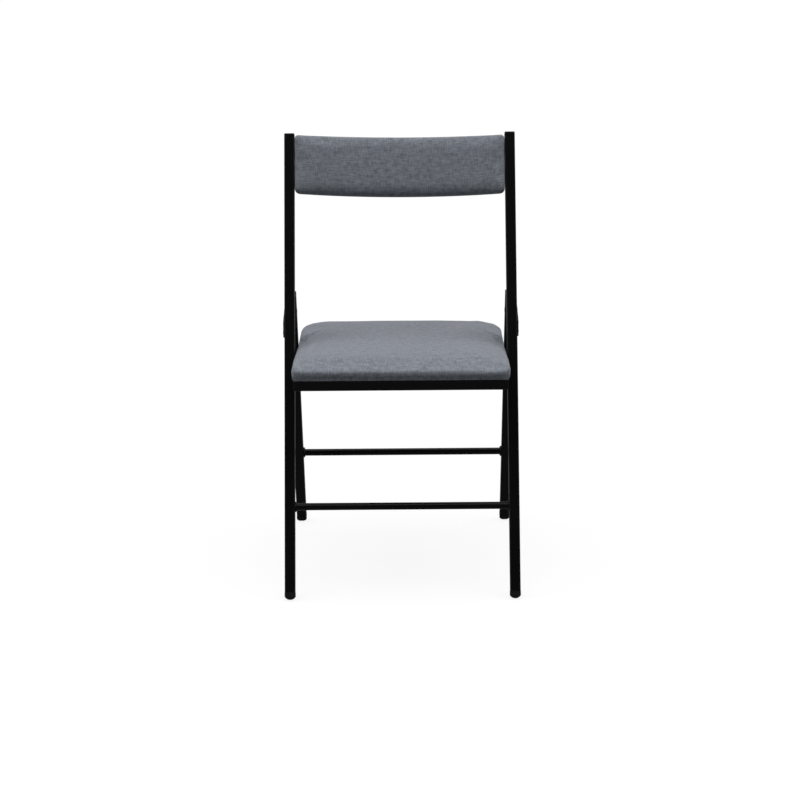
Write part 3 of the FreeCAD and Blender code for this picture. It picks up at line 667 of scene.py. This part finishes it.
def outline(half, front, rear, front_corner, rear_corner, side_steps=24, corner_steps=10):
    """Rounded rectangle, anticlockwise from the right front corner, as rows of x and y."""
    corners = [
        (half - front_corner, front + front_corner, front_corner, -90),
        (half - rear_corner, rear - rear_corner, rear_corner, 0),
        (-half + rear_corner, rear - rear_corner, rear_corner, 90),
        (-half + front_corner, front + front_corner, front_corner, 180),
    ]
    arcs = []
    for x, y, radius, start in corners:
        turns = np.radians(start + np.linspace(0, 90, corner_steps + 1))
        arcs.append(np.stack([x + radius * np.cos(turns), y + radius * np.sin(turns)], 1))
    points = []
    for arc, following in zip(arcs, arcs[1:] + arcs[:1]):
        points.append(arc)
        shares = np.linspace(0, 1, side_steps + 1)[1:-1, None]
        points.append(arc[-1] * (1 - shares) + following[0] * shares)
    return np.concatenate(points)


def to_ridge(loop, reach, height):
    """The last loop of a pad, drawn together on the line along its middle."""
    along = np.clip(loop[:, 0], -reach, reach)
    middle = np.full(len(loop), loop[:, 1].mean())
    return np.column_stack([along, middle, np.full(len(loop), height)])


def lofted(name, loops):
    """Closed mesh through loops of points of equal number, capped at both ends."""
    count = len(loops[0])
    faces = [tuple(range(count))[::-1]]
    for row in range(len(loops) - 1):
        base = row * count
        for i in range(count):
            j = (i + 1) % count
            faces.append((base + i, base + j, base + count + j, base + count + i))
    last = (len(loops) - 1) * count
    faces.append(tuple(range(last, last + count)))
    return add_mesh(name, np.concatenate(loops), [], faces)


def apply_modifiers(piece):
    """Turns what the modifiers make of a piece into its plain mesh."""
    bpy.context.view_layer.update()
    seen = piece.evaluated_get(bpy.context.evaluated_depsgraph_get())
    mesh = bpy.data.meshes.new_from_object(seen)
    piece.modifiers.clear()
    old, piece.data = piece.data, mesh
    bpy.data.meshes.remove(old)


def points_of(piece):
    """A piece's points in mm, in rows."""
    flat = np.empty(len(piece.data.vertices) * 3, np.float32)
    piece.data.vertices.foreach_get("co", flat)
    return flat.reshape(-1, 3).astype(float) / MM


def set_points(piece, points):
    """Moves a piece's points to places in mm."""
    piece.data.vertices.foreach_set("co", (points * MM).astype(np.float32).ravel())
    piece.data.update()


def evened(piece, moved, times=10):
    """Evens out how far the points moved, so that the cloth has no small creases."""
    ends = np.empty(len(piece.data.edges) * 2, np.int32)
    piece.data.edges.foreach_get("vertices", ends)
    one, other = ends.reshape(-1, 2).T
    joined = np.bincount(ends, minlength=len(moved))[:, None]
    for _ in range(times):
        around = np.zeros_like(moved)
        np.add.at(around, one, moved[other])
        np.add.at(around, other, moved[one])
        moved = (moved + around / joined) / 2
    return moved


def puff_up(piece, voxel, held, travel, pressure=4.0, frames=20):
    """Remeshes a shape evenly and lets its cloth swell, by no more than the travel.

    held says from the points which of them stay put.
    """
    remesh = piece.modifiers.new("even", "REMESH")
    remesh.mode, remesh.voxel_size = "VOXEL", voxel * MM
    smooth = piece.modifiers.new("settle", "SMOOTH")
    smooth.factor, smooth.iterations = 0.5, 4
    apply_modifiers(piece)
    before = points_of(piece)
    pins = piece.vertex_groups.new(name="held")
    for index in np.nonzero(held(before))[0]:
        pins.add([int(index)], 1.0, "REPLACE")
    cloth = piece.modifiers.new("swell", "CLOTH")
    settings = cloth.settings
    settings.quality = 6
    settings.use_pressure = True
    settings.uniform_pressure_force = pressure
    settings.vertex_group_mass = "held"
    settings.effector_weights.gravity = 0
    settings.tension_stiffness = settings.compression_stiffness = 30
    settings.bending_stiffness = 2
    cloth.point_cache.frame_start, cloth.point_cache.frame_end = 1, frames
    for number in range(1, frames + 1):
        scene.frame_set(number)
    seen = piece.evaluated_get(bpy.context.evaluated_depsgraph_get())
    flat = np.empty(len(before) * 3, np.float32)
    seen.data.vertices.foreach_get("co", flat)
    moved = evened(piece, flat.reshape(-1, 3) / MM - before)
    far = np.linalg.norm(moved, axis=1)
    share = travel * np.tanh(far / travel) / np.maximum(far, 1e-9)
    piece.modifiers.clear()
    piece.vertex_groups.clear()
    scene.frame_set(1)
    set_points(piece, before + moved * share[:, None])


def subdivide(piece):
    """Splits each face in four, on a smoother surface."""
    finer = piece.modifiers.new("finer", "SUBSURF")
    finer.levels = finer.render_levels = 1
    apply_modifiers(piece)


def cut_pocket(piece, block):
    """Takes a block's room out of a piece, and the block with it."""
    cut = piece.modifiers.new("pocket", "BOOLEAN")
    cut.operation, cut.solver, cut.object = "DIFFERENCE", "EXACT", block
    apply_modifiers(piece)
    bpy.data.objects.remove(block)


def shade_smooth(piece, angle=40):
    """Smooth faces, with a crease where they turn by more than an angle in degrees."""
    piece.data.polygons.foreach_set("use_smooth", [True] * len(piece.data.polygons))
    piece.data.set_sharp_from_angle(angle=math.radians(angle))


def finish_piece(piece, place, material, body, replaced=()):
    """Moves a piece into the chair's frame, gives it its finish and body, and hides the nodes it replaces."""
    piece.data.transform(place)
    piece.data.materials.clear()
    piece.data.materials.append(material)
    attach(piece, body)
    if replaced:
        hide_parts(*replaced)


def set_cloth_lines(piece, across, along):
    """Keeps each point's place on the flat cloth, for the weave."""
    lines = piece.data.attributes.new("cloth_lines", "FLOAT_VECTOR", "POINT")
    flat = np.stack([across, along, np.zeros(len(across))], 1) * MM
    lines.data.foreach_set("vector", flat.astype(np.float32).ravel())


def draped(points, low, high, depth):
    """Flat cloth places of points on a pad: past its rim by as much as they lie below it."""
    rim = 8.0
    inner = np.clip(points, np.array(low) + rim, np.array(high) - rim)
    out = points - inner
    length = np.linalg.norm(out, axis=1)
    way = out / np.maximum(length, 1e-6)[:, None]
    return points + way * np.maximum(depth, 0)[:, None]


def seat_top(points):
    """Height of the seat pad's top: flat in the middle, rolling down to its sides and front."""
    x, y = points[:, 0], points[:, 1]
    side = np.interp(y, SEAT_SIDE_PLACES, SEAT_SIDE_FALLS) * np.abs(x / SEAT_HALF) ** 10
    onward = np.clip((SEAT_FRONT_ROLL - (y - SEAT_FRONT)) / SEAT_FRONT_ROLL, 0, 0.98)
    front = SEAT_FRONT_FALL * (1 - np.sqrt(1 - onward**2))
    rear = SEAT_REAR_FALL * np.clip((y - SEAT_MIDDLE) / (SEAT_REAR - SEAT_MIDDLE), 0, 2) ** 3
    ends = front + rear
    return SEAT_CROWN - SEAT_LEAN * x / SEAT_HALF - (side**3 + ends**3) ** (1 / 3)


def eased(values, start, full):
    """From 0 at the start to 1 where it is full, without a bend at either."""
    share = np.clip((values - start) / (full - start), 0, 1)
    return share**2 * (3 - 2 * share)


def seat_pinch(points):
    """How far the pad is drawn down around its rear corners, where the rear legs pass its sides."""
    side, back = np.abs(points[:, 0]), points[:, 1]
    places = zip((side, back), FOLD_CENTRE, FOLD_RADII)
    bend = np.hypot(*(np.maximum(place - centre, 0) / radius for place, centre, radius in places))
    beyond = FOLD_RADIUS * (bend - 1)
    valley = eased(beyond, *FOLD_SINKS) * (1 - eased(beyond, *FOLD_RISES))
    strength = eased(side, *FOLD_ASIDE) * eased(back, *FOLD_BACK)
    aside, behind = side - CORNER_START[0], back - CORNER_START[1]
    outward = CORNER_WAY[1] * behind + CORNER_WAY[0] * aside
    return FOLD_DEPTH * valley * strength + CORNER_FALL * eased(outward, *CORNER_FALLS)


def seat_loops(start):
    """Loops of the seat pad from its base up over its rim to its middle, which is start too low."""
    rows = [(1.5, SEAT_BASE - 7.0), (0.9, SEAT_BASE), (0.3, 13.0)]
    rows += [(0.0, 17.0), (0.0, 21.0), (0.0, 25.0)]
    rims = (0.3, 1.0, 2.2, 4.0, 6.5, 10.0, 15.0, 22.0, 32.0, 46.0, 64.0, 88.0, 116.0, 146.0, 170.0)
    rows += [(inset, None) for inset in rims]
    loops = []
    for inset, height in rows:
        inside = inset + start * min(inset / SEAT_RIM_ROLL, 1)
        corner = max(SEAT_CORNER - inset * 0.4, 2.0)
        loop = outline(SEAT_HALF - inside, SEAT_FRONT + inside, SEAT_REAR - inside, corner, corner)
        if height is None:
            curl = max(1 - inset / SEAT_RIM_ROLL, 0)
            fall = np.where(loop[:, 1] < SEAT_FRONT + 30, *SEAT_RIM_FALLS)
            drop = fall * (1 - math.sqrt(1 - curl**2))
            heights = seat_top(loop) - drop - start * min(inset / SEAT_RIM_ROLL, 1)
        else:
            heights = np.full(len(loop), height)
        loops.append(np.column_stack([loop, heights]))
    loops.append(to_ridge(loops[-1], SEAT_HALF - SEAT_RIDGE_INSET, loops[-1][:, 2].max()))
    return loops


def board_block(name, low, high, corner):
    """Block with rounded upright edges, for a pocket."""
    half = high[0]
    ring = outline(half, low[1], high[1], corner, corner, side_steps=1)
    rows = [np.column_stack([ring, np.full(len(ring), height)]) for height in (low[2], high[2])]
    return lofted(name, rows)


def fit_seat_rim(points):
    """Spreads the pad to its reach, and tucks its lower edge under at its front and sides."""
    reach = np.interp(points[:, 1], *zip(*SEAT_REACH))
    outer = np.clip((np.abs(points[:, 0]) - 120) / 80, 0, 1) ** 2
    wider = 1 + (reach / (SEAT_HALF - SEAT_SHRINK) - 1) * outer
    points[:, 0] = np.clip(points[:, 0] * wider, -reach, reach)
    height = SEAT_TUCK_TOP - SEAT_BASE
    under = np.clip((SEAT_TUCK_TOP - points[:, 2]) / height, 0, 1.2) ** 1.8
    near_front = np.clip((SEAT_TUCK_START - points[:, 1]) / SEAT_TUCK_LENGTH, 0, 1)
    points[:, 1] += SEAT_TUCK * under * near_front
    skirt = (points[:, 1] < SEAT_TUCK_START + 2.0) & (points[:, 2] < SEAT_SKIRT_TOP)
    points[:, 1] = np.where(skirt, np.minimum(points[:, 1], SEAT_SKIRT), points[:, 1])
    ahead = np.clip((40.0 - points[:, 1]) / 60.0, 0.2, 1)
    outside = np.abs(points[:, 0]) > SEAT_SIDE_TUCK_FROM
    points[:, 0] -= np.sign(points[:, 0]) * SEAT_SIDE_TUCK * under * ahead * outside
    return points


def make_seat_pad(material):
    """Foam and cloth over the seat board, tucked under its edge and folded at the rear legs."""
    pad = lofted("seat_pad", seat_loops(SEAT_START_LOW))
    puff_up(pad, SEAT_VOXEL, lambda points: points[:, 2] < SEAT_HELD_BELOW, SEAT_SWELL)
    set_points(pad, fit_seat_rim(points_of(pad)))
    subdivide(pad)
    points = points_of(pad)
    points[:, 2] -= seat_pinch(points) * eased(points[:, 2], *FOLD_HEIGHTS)
    set_points(pad, points)
    low, high = (-BEYOND, -BEYOND, -50.0), (BEYOND, BEYOND, SEAT_BASE)
    cut_pocket(pad, board_block("room_below", low, high, 10.0))
    low, high = seat_box("seat_board")
    low = (-high[0] - BOARD_GAP, low[1] - BOARD_GAP, low[2] - 5)
    high = (high[0] + BOARD_GAP, high[1] + BOARD_GAP, high[2] + BOARD_GAP)
    cut_pocket(pad, board_block("board_room", low, high, SEAT_BOARD_CORNER))
    points = points_of(pad)
    below = seat_top(points) - SEAT_RIM_DEPTH - points[:, 2]
    flat = draped(points[:, :2], (-SEAT_HALF, SEAT_FRONT), (SEAT_HALF, SEAT_REAR), below)
    set_cloth_lines(pad, flat[:, 0], flat[:, 1])
    shade_smooth(pad)
    finish_piece(pad, SEAT_PLACE, material, "seat", ["seat_cushion"])


def bowed(points):
    """From along, depth and height on a flat panel to its place on the backrest's bow."""
    x, depth, height = points.T
    around = BACK_RADIUS + depth
    return np.column_stack([x, np.sqrt(around**2 - x**2) - BACK_RADIUS + BACK_SAG, height])


def unbowed(points):
    """The way back from the bow to the flat panel."""
    x, y, height = points.T
    return np.column_stack([x, np.hypot(x, y + BACK_RADIUS - BACK_SAG) - BACK_RADIUS, height])


def back_face(points):
    """Depth of the backrest pad's face, which rolls back at its four edges."""
    x, z = points[:, 0], points[:, 1]
    ends = 7.5 * np.exp((np.abs(x) - BACK_HALF) / 5.0)
    edge = np.minimum(z - BACK_LOW, BACK_HIGH - z)
    rims = 7.5 * np.exp(-edge / 3.5) + 3.0 * np.exp(-edge / 18.0)
    return BACK_FACE + np.minimum((ends**2 + rims**2) ** 0.5, BACK_FACE_FALL)


def back_loops(start):
    """Loops of the flat backrest pad, from its rear rim to its face's middle, start too low."""
    rows = [(1.0, BACK_REAR + 6.0), (0.6, BACK_REAR), (0.2, BACK_REAR - 2.0)]
    rows += [(0.0, BACK_REAR - 5.0), (0.0, -6.0)]
    rims = (0.5, 1.6, 3.4, 6.0, 9.0, 13.0, 18.0, 25.0, 34.0, 44.0, 52.0)
    rows += [(inset, None) for inset in rims]
    loops = []
    for inset, depth in rows:
        inside = inset + start * min(inset / BACK_RIM_ROLL, 1)
        corner = max(BACK_CORNER - inset * 0.3, 1.5)
        edges = (BACK_LOW + inside, BACK_HIGH - inside)
        loop = outline(BACK_HALF - inside, *edges, corner, corner * 0.5)
        if depth is None:
            depths = back_face(loop) + start * min(inset / BACK_RIM_ROLL, 1)
        else:
            depths = np.full(len(loop), depth)
        loops.append(np.column_stack([loop, depths]))
    loops.append(to_ridge(loops[-1], BACK_HALF - BACK_RIDGE_INSET, loops[-1][:, 2].min()))
    return [loop[:, [0, 2, 1]] for loop in loops]


def bowed_room(name, half, low, high, depth, thick):
    """Bowed slab behind a depth, for a pocket."""

    def place(across, along):
        x, z = (across * 2 - 1) * half, low + along * (high - low)
        return bowed(np.column_stack([x, np.full(len(x), depth), z]))

    room = sheet_grid(name, 80, 4, place)
    thicken(room, thick)
    return room


def shape_back_panel(points):
    """Raises the flat panel's upper edge to a slight crown and lets the panel lean."""
    points[:, 0] = np.clip(points[:, 0], -BACK_HALF, BACK_HALF)
    middle = 1 - (points[:, 0] / BACK_HALF) ** 2
    upper = np.clip((points[:, 2] - BACK_CROWN_START) / BACK_CROWN_LENGTH, 0, 1) ** 2
    points[:, 2] += (BACK_CROWN * middle - BACK_CROWN_LOSS) * upper
    points[:, 2] -= BACK_LEAN * points[:, 0] / BACK_HALF
    return points


def make_back_pad(material):
    """Foam and cloth over the bent board. It is made flat, then bowed."""
    pad = lofted("backrest_pad", [loop[::-1] for loop in back_loops(BACK_START_LOW)][::-1])
    puff_up(pad, BACK_VOXEL, lambda points: points[:, 1] > BACK_HELD_BEHIND, BACK_SWELL)
    set_points(pad, shape_back_panel(points_of(pad)))
    subdivide(pad)
    set_points(pad, bowed(points_of(pad)))
    low, high = BACK_LOW - 60, BACK_HIGH + 60
    cut_pocket(pad, bowed_room("room_behind", BEYOND, low, high, BACK_REAR, 40.0))
    inset = BACK_BOARD_INSET - BOARD_GAP
    half, low, high = INNER_X - 0.3 - inset, BACK_LOW + inset, BACK_BOARD_HIGH - inset
    depth = BACK_BOARD_FRONT - BOARD_GAP
    cut_pocket(pad, bowed_room("board_room", half, low, high, depth, BACK_BOARD_ROOM))
    points = unbowed(points_of(pad))
    arc = BACK_RADIUS * np.arcsin(points[:, 0] / BACK_RADIUS)
    panel, behind = np.column_stack([arc, points[:, 2]]), points[:, 1] + BACK_RIM_DEPTH
    flat = draped(panel, (-BACK_HALF, BACK_LOW), (BACK_HALF, BACK_HIGH), behind)
    set_cloth_lines(pad, flat[:, 0], flat[:, 1])
    shade_smooth(pad)
    finish_piece(pad, LONG_PLACE, material, "long_frame", ["backrest_cushion"])


# ---------------------------------------------------------------- lining cloths

def sheet_grid(name, columns, rows, place):
    """A grid of quads. place gives the points, in rows, for shares across and along."""
    across, along = np.meshgrid(np.linspace(0, 1, columns + 1), np.linspace(0, 1, rows + 1))
    wide = columns + 1
    faces = []
    for row in range(rows):
        for column in range(columns):
            first = row * wide + column
            faces.append((first, first + 1, first + wide + 1, first + wide))
    return add_mesh(name, place(across.ravel(), along.ravel()), [], faces)


def thicken(piece, thickness):
    """Gives a sheet a wall on its inner side."""
    wall = piece.modifiers.new("wall", "SOLIDIFY")
    wall.thickness, wall.offset = thickness * MM, -1
    apply_modifiers(piece)


def make_back_cover(material):
    """Cloth over the backrest's rear, bowed like the board, with a hem round its border."""
    low, high, half = BACK_LOW + LINING_INSET, BACK_HIGH - LINING_INSET, LINING_HALF

    def place(across, along):
        x = (across * 2 - 1) * half
        z = low + along * (high - low)
        border = np.minimum.reduce([half - np.abs(x), z - low, high - z])
        depth = LINING_DEPTH + 0.3 * np.clip((LINING_HEM - border) / 1.5, 0, 1)
        return bowed(np.column_stack([x, depth, z - BACK_LEAN * x / BACK_HALF]))

    cover = sheet_grid("backrest_lining", 120, 36, place)
    thicken(cover, LINING_THICK)
    shade_smooth(cover)
    finish_piece(cover, LONG_PLACE, material, "long_frame", ["backrest_back_cover"])


def make_dust_cover(material):
    """Cloth under the seat board, slack in its middle and rippled."""
    low, high = seat_box("seat_dust_cover")

    def place(across, along):
        x = low[0] + across * (high[0] - low[0])
        y = low[1] + along * (high[1] - low[1])
        slack = (np.sin(np.pi * across) * np.sin(np.pi * along)) ** 0.6
        ripple = 0.5 * np.sin(across * 31 + 3 * along) * np.sin(along * 23 + across * 2)
        under = high[2] - DUST_COVER_GAP - slack * (DUST_COVER_SLACK + ripple)
        return np.column_stack([x, y, under])

    cover = sheet_grid("seat_lining", 90, 80, place)
    cover.data.flip_normals()
    thicken(cover, DUST_COVER_THICK)
    shade_smooth(cover)
    finish_piece(cover, SEAT_PLACE, material, "seat", ["seat_dust_cover"])


# ---------------------------------------------------------------- small repeated pieces

def growth(name, numbers, others, steps):
    """A Geometry Nodes tree with named inputs, whose geometry steps makes.

    numbers are {name: default} and others {name: kind}.
    """
    tree = bpy.data.node_groups.new(name, "GeometryNodeTree")

    def add_socket(socket, kind, way="INPUT"):
        return tree.interface.new_socket(socket, in_out=way, socket_type="NodeSocket" + kind)

    add_socket("Geometry", "Geometry")
    for socket, default in numbers.items():
        add_socket(socket, "Float").default_value = default
    for socket, kind in others.items():
        add_socket(socket, kind)
    add_socket("Geometry", "Geometry", "OUTPUT")
    graph = Graph(tree)
    given = graph.add("NodeGroupInput").outputs
    whole = graph.add("GeometryNodeRealizeInstances", {0: steps(graph, given)}).outputs[0]
    inputs = {"Geometry": whole, "Material": given["Finish"]}
    done = graph.add("GeometryNodeSetMaterial", inputs).outputs[0]
    graph.put(graph.add("NodeGroupOutput").inputs[0], done)
    return tree


def bead_steps(graph, given):
    """A rippled bead along every line, closed at the line's ends."""
    line = graph.add("GeometryNodeMeshToCurve", {0: given["Geometry"]}).outputs[0]
    inputs = {"Curve": line, "Length": given["Step"]}
    curve = graph.add("GeometryNodeResampleCurve", inputs, mode="LENGTH").outputs[0]
    along = graph.add("GeometryNodeSplineParameter").outputs["Length"]
    turns = graph.math("DIVIDE", along, given["Ripple"])
    wave = graph.math("SINE", graph.math("MULTIPLY", turns, math.tau))
    size = graph.math("MULTIPLY_ADD", wave, given["Ripple Depth"], 1.0)
    inputs = {"Resolution": 8, "Radius": given["Bead"]}
    profile = graph.add("GeometryNodeCurvePrimitiveCircle", inputs).outputs[0]
    inputs = {"Curve": curve, "Profile Curve": profile, "Scale": size, "Fill Caps": True}
    bead = graph.add("GeometryNodeCurveToMesh", inputs).outputs[0]
    return graph.add("GeometryNodeSetShadeSmooth", {0: bead}).outputs[0]


def fastener_steps(graph, given):
    """Sets the piece on every point, its Z along the point's facing and its X along its run."""
    turn = None
    for axis, pivot, attribute in (("Z", "AUTO", "facing"), ("X", "Z", "run")):
        name, kind = {"Name": attribute}, "FLOAT_VECTOR"
        way = graph.add("GeometryNodeInputNamedAttribute", name, data_type=kind).outputs[0]
        inputs = {"Vector": way} if turn is None else {"Vector": way, "Rotation": turn}
        settings = {"axis": axis, "pivot_axis": pivot}
        turn = graph.add("FunctionNodeAlignRotationToVector", inputs, **settings).outputs[0]
    piece = graph.add("GeometryNodeObjectInfo", {"Object": given["Piece"]}).outputs["Geometry"]
    size = graph.add("ShaderNodeCombineXYZ", {i: given["Size"] for i in range(3)}).outputs[0]
    inputs = {"Points": given["Geometry"], "Instance": piece, "Rotation": turn, "Scale": size}
    return graph.add("GeometryNodeInstanceOnPoints", inputs).outputs[0]


BEAD_NUMBERS = {"Bead": 0.0026, "Step": 0.0007, "Ripple": 0.0028, "Ripple Depth": 0.1}
FASTENER_INPUTS = {"Piece": "Object", "Finish": "Material"}
GROWTHS = {
    "beads": growth("weld_beads", BEAD_NUMBERS, {"Finish": "Material"}, bead_steps),
    "fasteners": growth("set_fasteners", {"Size": 1.0}, FASTENER_INPUTS, fastener_steps),
}


def grow(piece, growth_name, **values):
    """Runs a tree on a piece and keeps what it makes as the piece's plain mesh."""
    tree = GROWTHS[growth_name]
    modifier = piece.modifiers.new("growth", "NODES")
    modifier.node_group = tree
    for item in tree.interface.items_tree:
        word = item.name.replace(" ", "_")
        if item.in_out == "INPUT" and word in values:
            modifier[item.identifier] = values[word]
    apply_modifiers(piece)


def lines_mesh(name, paths):
    """Mesh of lines in mm. Each path is its points and whether it closes."""
    points, edges = [], []
    for path, closed in paths:
        first = len(points)
        points += [tuple(point) for point in path]
        edges += [(first + i, first + i + 1) for i in range(len(path) - 1)]
        if closed:
            edges.append((len(points) - 1, first))
    return add_mesh(name, points, edges, [])


def ring(x, middle, radius, steps=40):
    """Circle in a plane of constant x."""
    points = []
    for number in range(steps):
        turn = math.tau * number / steps
        points.append((x, middle[0] + radius * math.cos(turn), middle[1] + radius * math.sin(turn)))
    return points


def rung_beads(node, inner_x):
    """A bead round each end of a round rung, in the chair's frame."""
    low, high = (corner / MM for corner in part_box(node))
    middle = ((low.y + high.y) / 2, (low.z + high.z) / 2)
    x, radius = inner_x - 0.6, RUNG_RADIUS + 0.7
    return [(ring(side * x, middle, radius), True) for side in (-1, 1)]


def rail_beads():
    """A bead round each end of the two back rails, in the long frame."""
    paths = []
    shares = np.linspace(0, 1, 12)[:-1]
    for low in RAIL_LOWS:
        high = low + RAIL_HEIGHT
        corners = [(RAIL_FRONT, low), (RAIL_REAR, low), (RAIL_REAR, high), (RAIL_FRONT, high)]
        for side in (-1, 1):
            x = side * (INNER_X - 0.4)
            ends = bowed(np.array([(x, depth, height) for depth, height in corners]))
            path = []
            for start, stop in zip(ends, np.roll(ends, -1, 0)):
                path += [start + (stop - start) * share for share in shares]
            paths.append(([(x, y, z) for _, y, z in path], True))
    return paths


def seat_bar_beads():
    """A bead in each inner corner of the seat's bars and across the seam below it."""
    paths = []
    for side in (-1, 1):
        inner, outer = side * (SEAT_BAR_INNER - 0.4), side * (SEAT_BAR_INNER + 17.0)
        for y, way in ((SEAT_BAR_FRONT, 1), (SEAT_BAR_REAR, -1)):
            corner = y + way * 0.4
            upright = [(inner, corner, height) for height in np.linspace(6.5, -9.0, 12)]
            seam = [(x, y + way * 0.2, -9.4) for x in np.linspace(inner, outer, 12)]
            paths += [(upright, False), (seam, False)]
    return paths


def make_beads(finish):
    """Weld beads, one mesh for each kind of joint between tubes."""
    front = rung_beads("front_rung", INNER_X)
    rear = rung_beads("lower_rear_rung", REAR_INNER_X)
    rest = rung_beads("upper_rear_rung", REAR_INNER_X)
    rows = [
        ("front_rung_welds", front, Matrix(), "long_frame", 0.0023),
        ("rear_rung_welds", rear, Matrix(), "rear_frame", 0.0029),
        ("rest_rung_welds", rest, Matrix(), "rear_frame", 0.0021),
        ("back_rail_welds", rail_beads(), LONG_PLACE, "long_frame", 0.0016),
        ("seat_bar_welds", seat_bar_beads(), SEAT_PLACE, "seat", 0.0018),
    ]
    for name, paths, place, body, bead in rows:
        piece = lines_mesh(name, paths)
        grow(piece, "beads", Bead=bead, Finish=finish)
        finish_piece(piece, place, finish, body)


def turned_piece(name, profile, steps=20):
    """Closed mesh of a profile of (radius, height) turned about Z, from its top to its foot."""
    turns = np.radians(np.arange(steps) * 360.0 / steps)
    loops = []
    for radius, height in profile:
        circle = [radius * np.cos(turns), radius * np.sin(turns)]
        loops.append(np.column_stack([*circle, np.full(steps, height)]))
    return lofted(name, loops[::-1])


def screw(name, radius, tall, shank, length):
    """Pan head screw with a cross recess. It stands on z = 0 with its head up."""
    profile = [(radius * share, tall * height) for share, height in SCREW_HEAD]
    made = turned_piece(name, profile + [(shank, 0.0), (shank, -length)])
    wide, reach = radius * RECESS_WIDTH, radius * RECESS_REACH
    levels = ((tall * RECESS_FLOOR, RECESS_FLOOR_SHARE), (tall + 1, RECESS_MOUTH_SHARE))
    for half_x, half_y in ((reach, wide), (wide, reach)):
        box = outline(half_x, -half_y, half_y, wide * 0.2, wide * 0.2, side_steps=1, corner_steps=1)
        rows = [np.column_stack([box * share, np.full(len(box), z)]) for z, share in levels]
        cut_pocket(made, lofted("recess", rows))
    shade_smooth(made, 50)
    return made


def staple(name, crown=10.0, wire=0.35, leg=1.2):
    """Wire staple along X. Its crown lies just above z = 0 and its legs go down into the wood."""
    half = crown / 2
    path = [(-half, -leg), (-half, 0.0), (-half + 0.4, 0.3)]
    path += [(-x, z) for x, z in path[::-1]]
    made = lines_mesh(name, [([(x, 0.0, z) for x, z in path], False)])
    grow(made, "beads", Bead=wire * MM, Step=0.0017, Ripple_Depth=0.0)
    return made


def set_on_points(name, rows, piece, place, finish, body, slot, replaced=()):
    """Sets copies of a piece at rows of (spot in mm, facing, run), as one mesh, and removes it."""
    made = add_mesh(name, [row[0] for row in rows], [], [])
    for column, attribute in ((1, "facing"), (2, "run")):
        values = np.array([row[column] for row in rows], np.float32).ravel()
        ways = made.data.attributes.new(attribute, "FLOAT_VECTOR", "POINT")
        ways.data.foreach_set("vector", values)
    grow(made, "fasteners", Piece=piece, Finish=finish)
    bpy.data.objects.remove(piece)
    finish_piece(made, place, finish, body, replaced)


def make_screws(steel):
    """Screws under the seat's side bars and through the back rails, each turned another way."""
    rows = []
    for side in (-1, 1):
        for number, back in enumerate(SEAT_SCREWS_BACK):
            turn = 0.7 * number + side
            run = (math.cos(turn), math.sin(turn), 0)
            rows.append(((side * SEAT_SCREW_X, back, SEAT_BAR_UNDER), (0, 0, -1), run))
    piece = screw("seat_screw", 5.0, 2.4, 2.4, SEAT_SCREW_LENGTH)
    held = ("seat", "black_steel", ["seat_screws"])
    set_on_points("seat_cross_screws", rows, piece, SEAT_PLACE, steel, *held)
    rows = []
    for low in RAIL_LOWS:
        for degrees in BACK_SCREW_DEGREES:
            turn = -math.radians(degrees)
            away = (math.sin(turn), math.cos(turn), 0)
            around = BACK_RADIUS + RAIL_REAR
            depth = around * away[1] - BACK_RADIUS + BACK_SAG
            run = (0.3, 0, 0.95)
            if degrees:
                run = (math.cos(turn) * 0.8, -math.sin(turn) * 0.8, 0.6)
            rows.append(((around * away[0], depth, low + RAIL_HEIGHT / 2), away, run))
    piece = screw("back_screw", 4.0, 2.0, 2.0, BACK_SCREW_LENGTH)
    held = ("long_frame", "black_steel", ["backrest_screws"])
    set_on_points("back_cross_screws", rows, piece, LONG_PLACE, steel, *held)


def border_spots(low, high, inset, step):
    """Points along a rectangle's border, inset, with the border's run at each."""
    spots = []
    sizes = [high[0] - low[0] - 2 * inset, high[1] - low[1] - 2 * inset]
    for axis in (0, 1):
        count = round(sizes[axis] / step)
        for number in range(count):
            share = (number + 0.5) / count
            for edge in (low[1 - axis] + inset, high[1 - axis] - inset):
                spot = [edge, edge]
                spot[axis] = low[axis] + inset + share * sizes[axis]
                spots.append((spot, axis))
    return spots


def make_staples(steel):
    """Staples along the borders of both linings, each a little askew."""
    chance = np.random.default_rng(7)
    low, high = seat_box("seat_dust_cover")
    rows = []
    for (x, y), axis in border_spots(low, high, STAPLE_INSET, SEAT_STAPLE_STEP):
        skew = chance.uniform(-STAPLE_SKEW, STAPLE_SKEW)
        run = (math.cos(skew), math.sin(skew), 0)
        if axis == 1:
            run = (math.sin(skew), math.cos(skew), 0)
        rows.append(((x, y, high[2] - SEAT_STAPLE_DEPTH), (0, 0, -1), run))
    piece = staple("seat_staple")
    set_on_points("seat_staples", rows, piece, SEAT_PLACE, steel, "seat", "plain_steel")
    rows = []
    for (x, z), axis in border_spots(*BACK_STAPLE_BORDER, STAPLE_INSET, BACK_STAPLE_STEP):
        skew = chance.uniform(-STAPLE_SKEW, STAPLE_SKEW)
        spot = bowed(np.array([(x, BACK_STAPLE_DEPTH, z)]))[0]
        away = Vector((spot[0], spot[1] + BACK_RADIUS - BACK_SAG, 0)).normalized()
        level = Vector((away.y, -away.x, 0))
        upright = Vector((0, 0, 1))
        first, second = (level, upright) if axis == 0 else (upright, level)
        rows.append((spot, away, first * math.cos(skew) + second * math.sin(skew)))
    piece = staple("back_staple", leg=1.0)
    set_on_points("backrest_staples", rows, piece, LONG_PLACE, steel, "long_frame", "plain_steel")


place_camera()
set_world()
hang_lamps()
lay_floor()
finishes = make_finishes()
dress_nodes(finishes)
make_seat_pad(finishes["grey"])
make_back_pad(finishes["grey"])
make_back_cover(finishes["lining"])
make_dust_cover(finishes["lining"])
make_beads(finishes["coat"])
make_screws(finishes["blackened"])
make_staples(finishes["zinc"])

scene.view_settings.view_transform = "Standard"
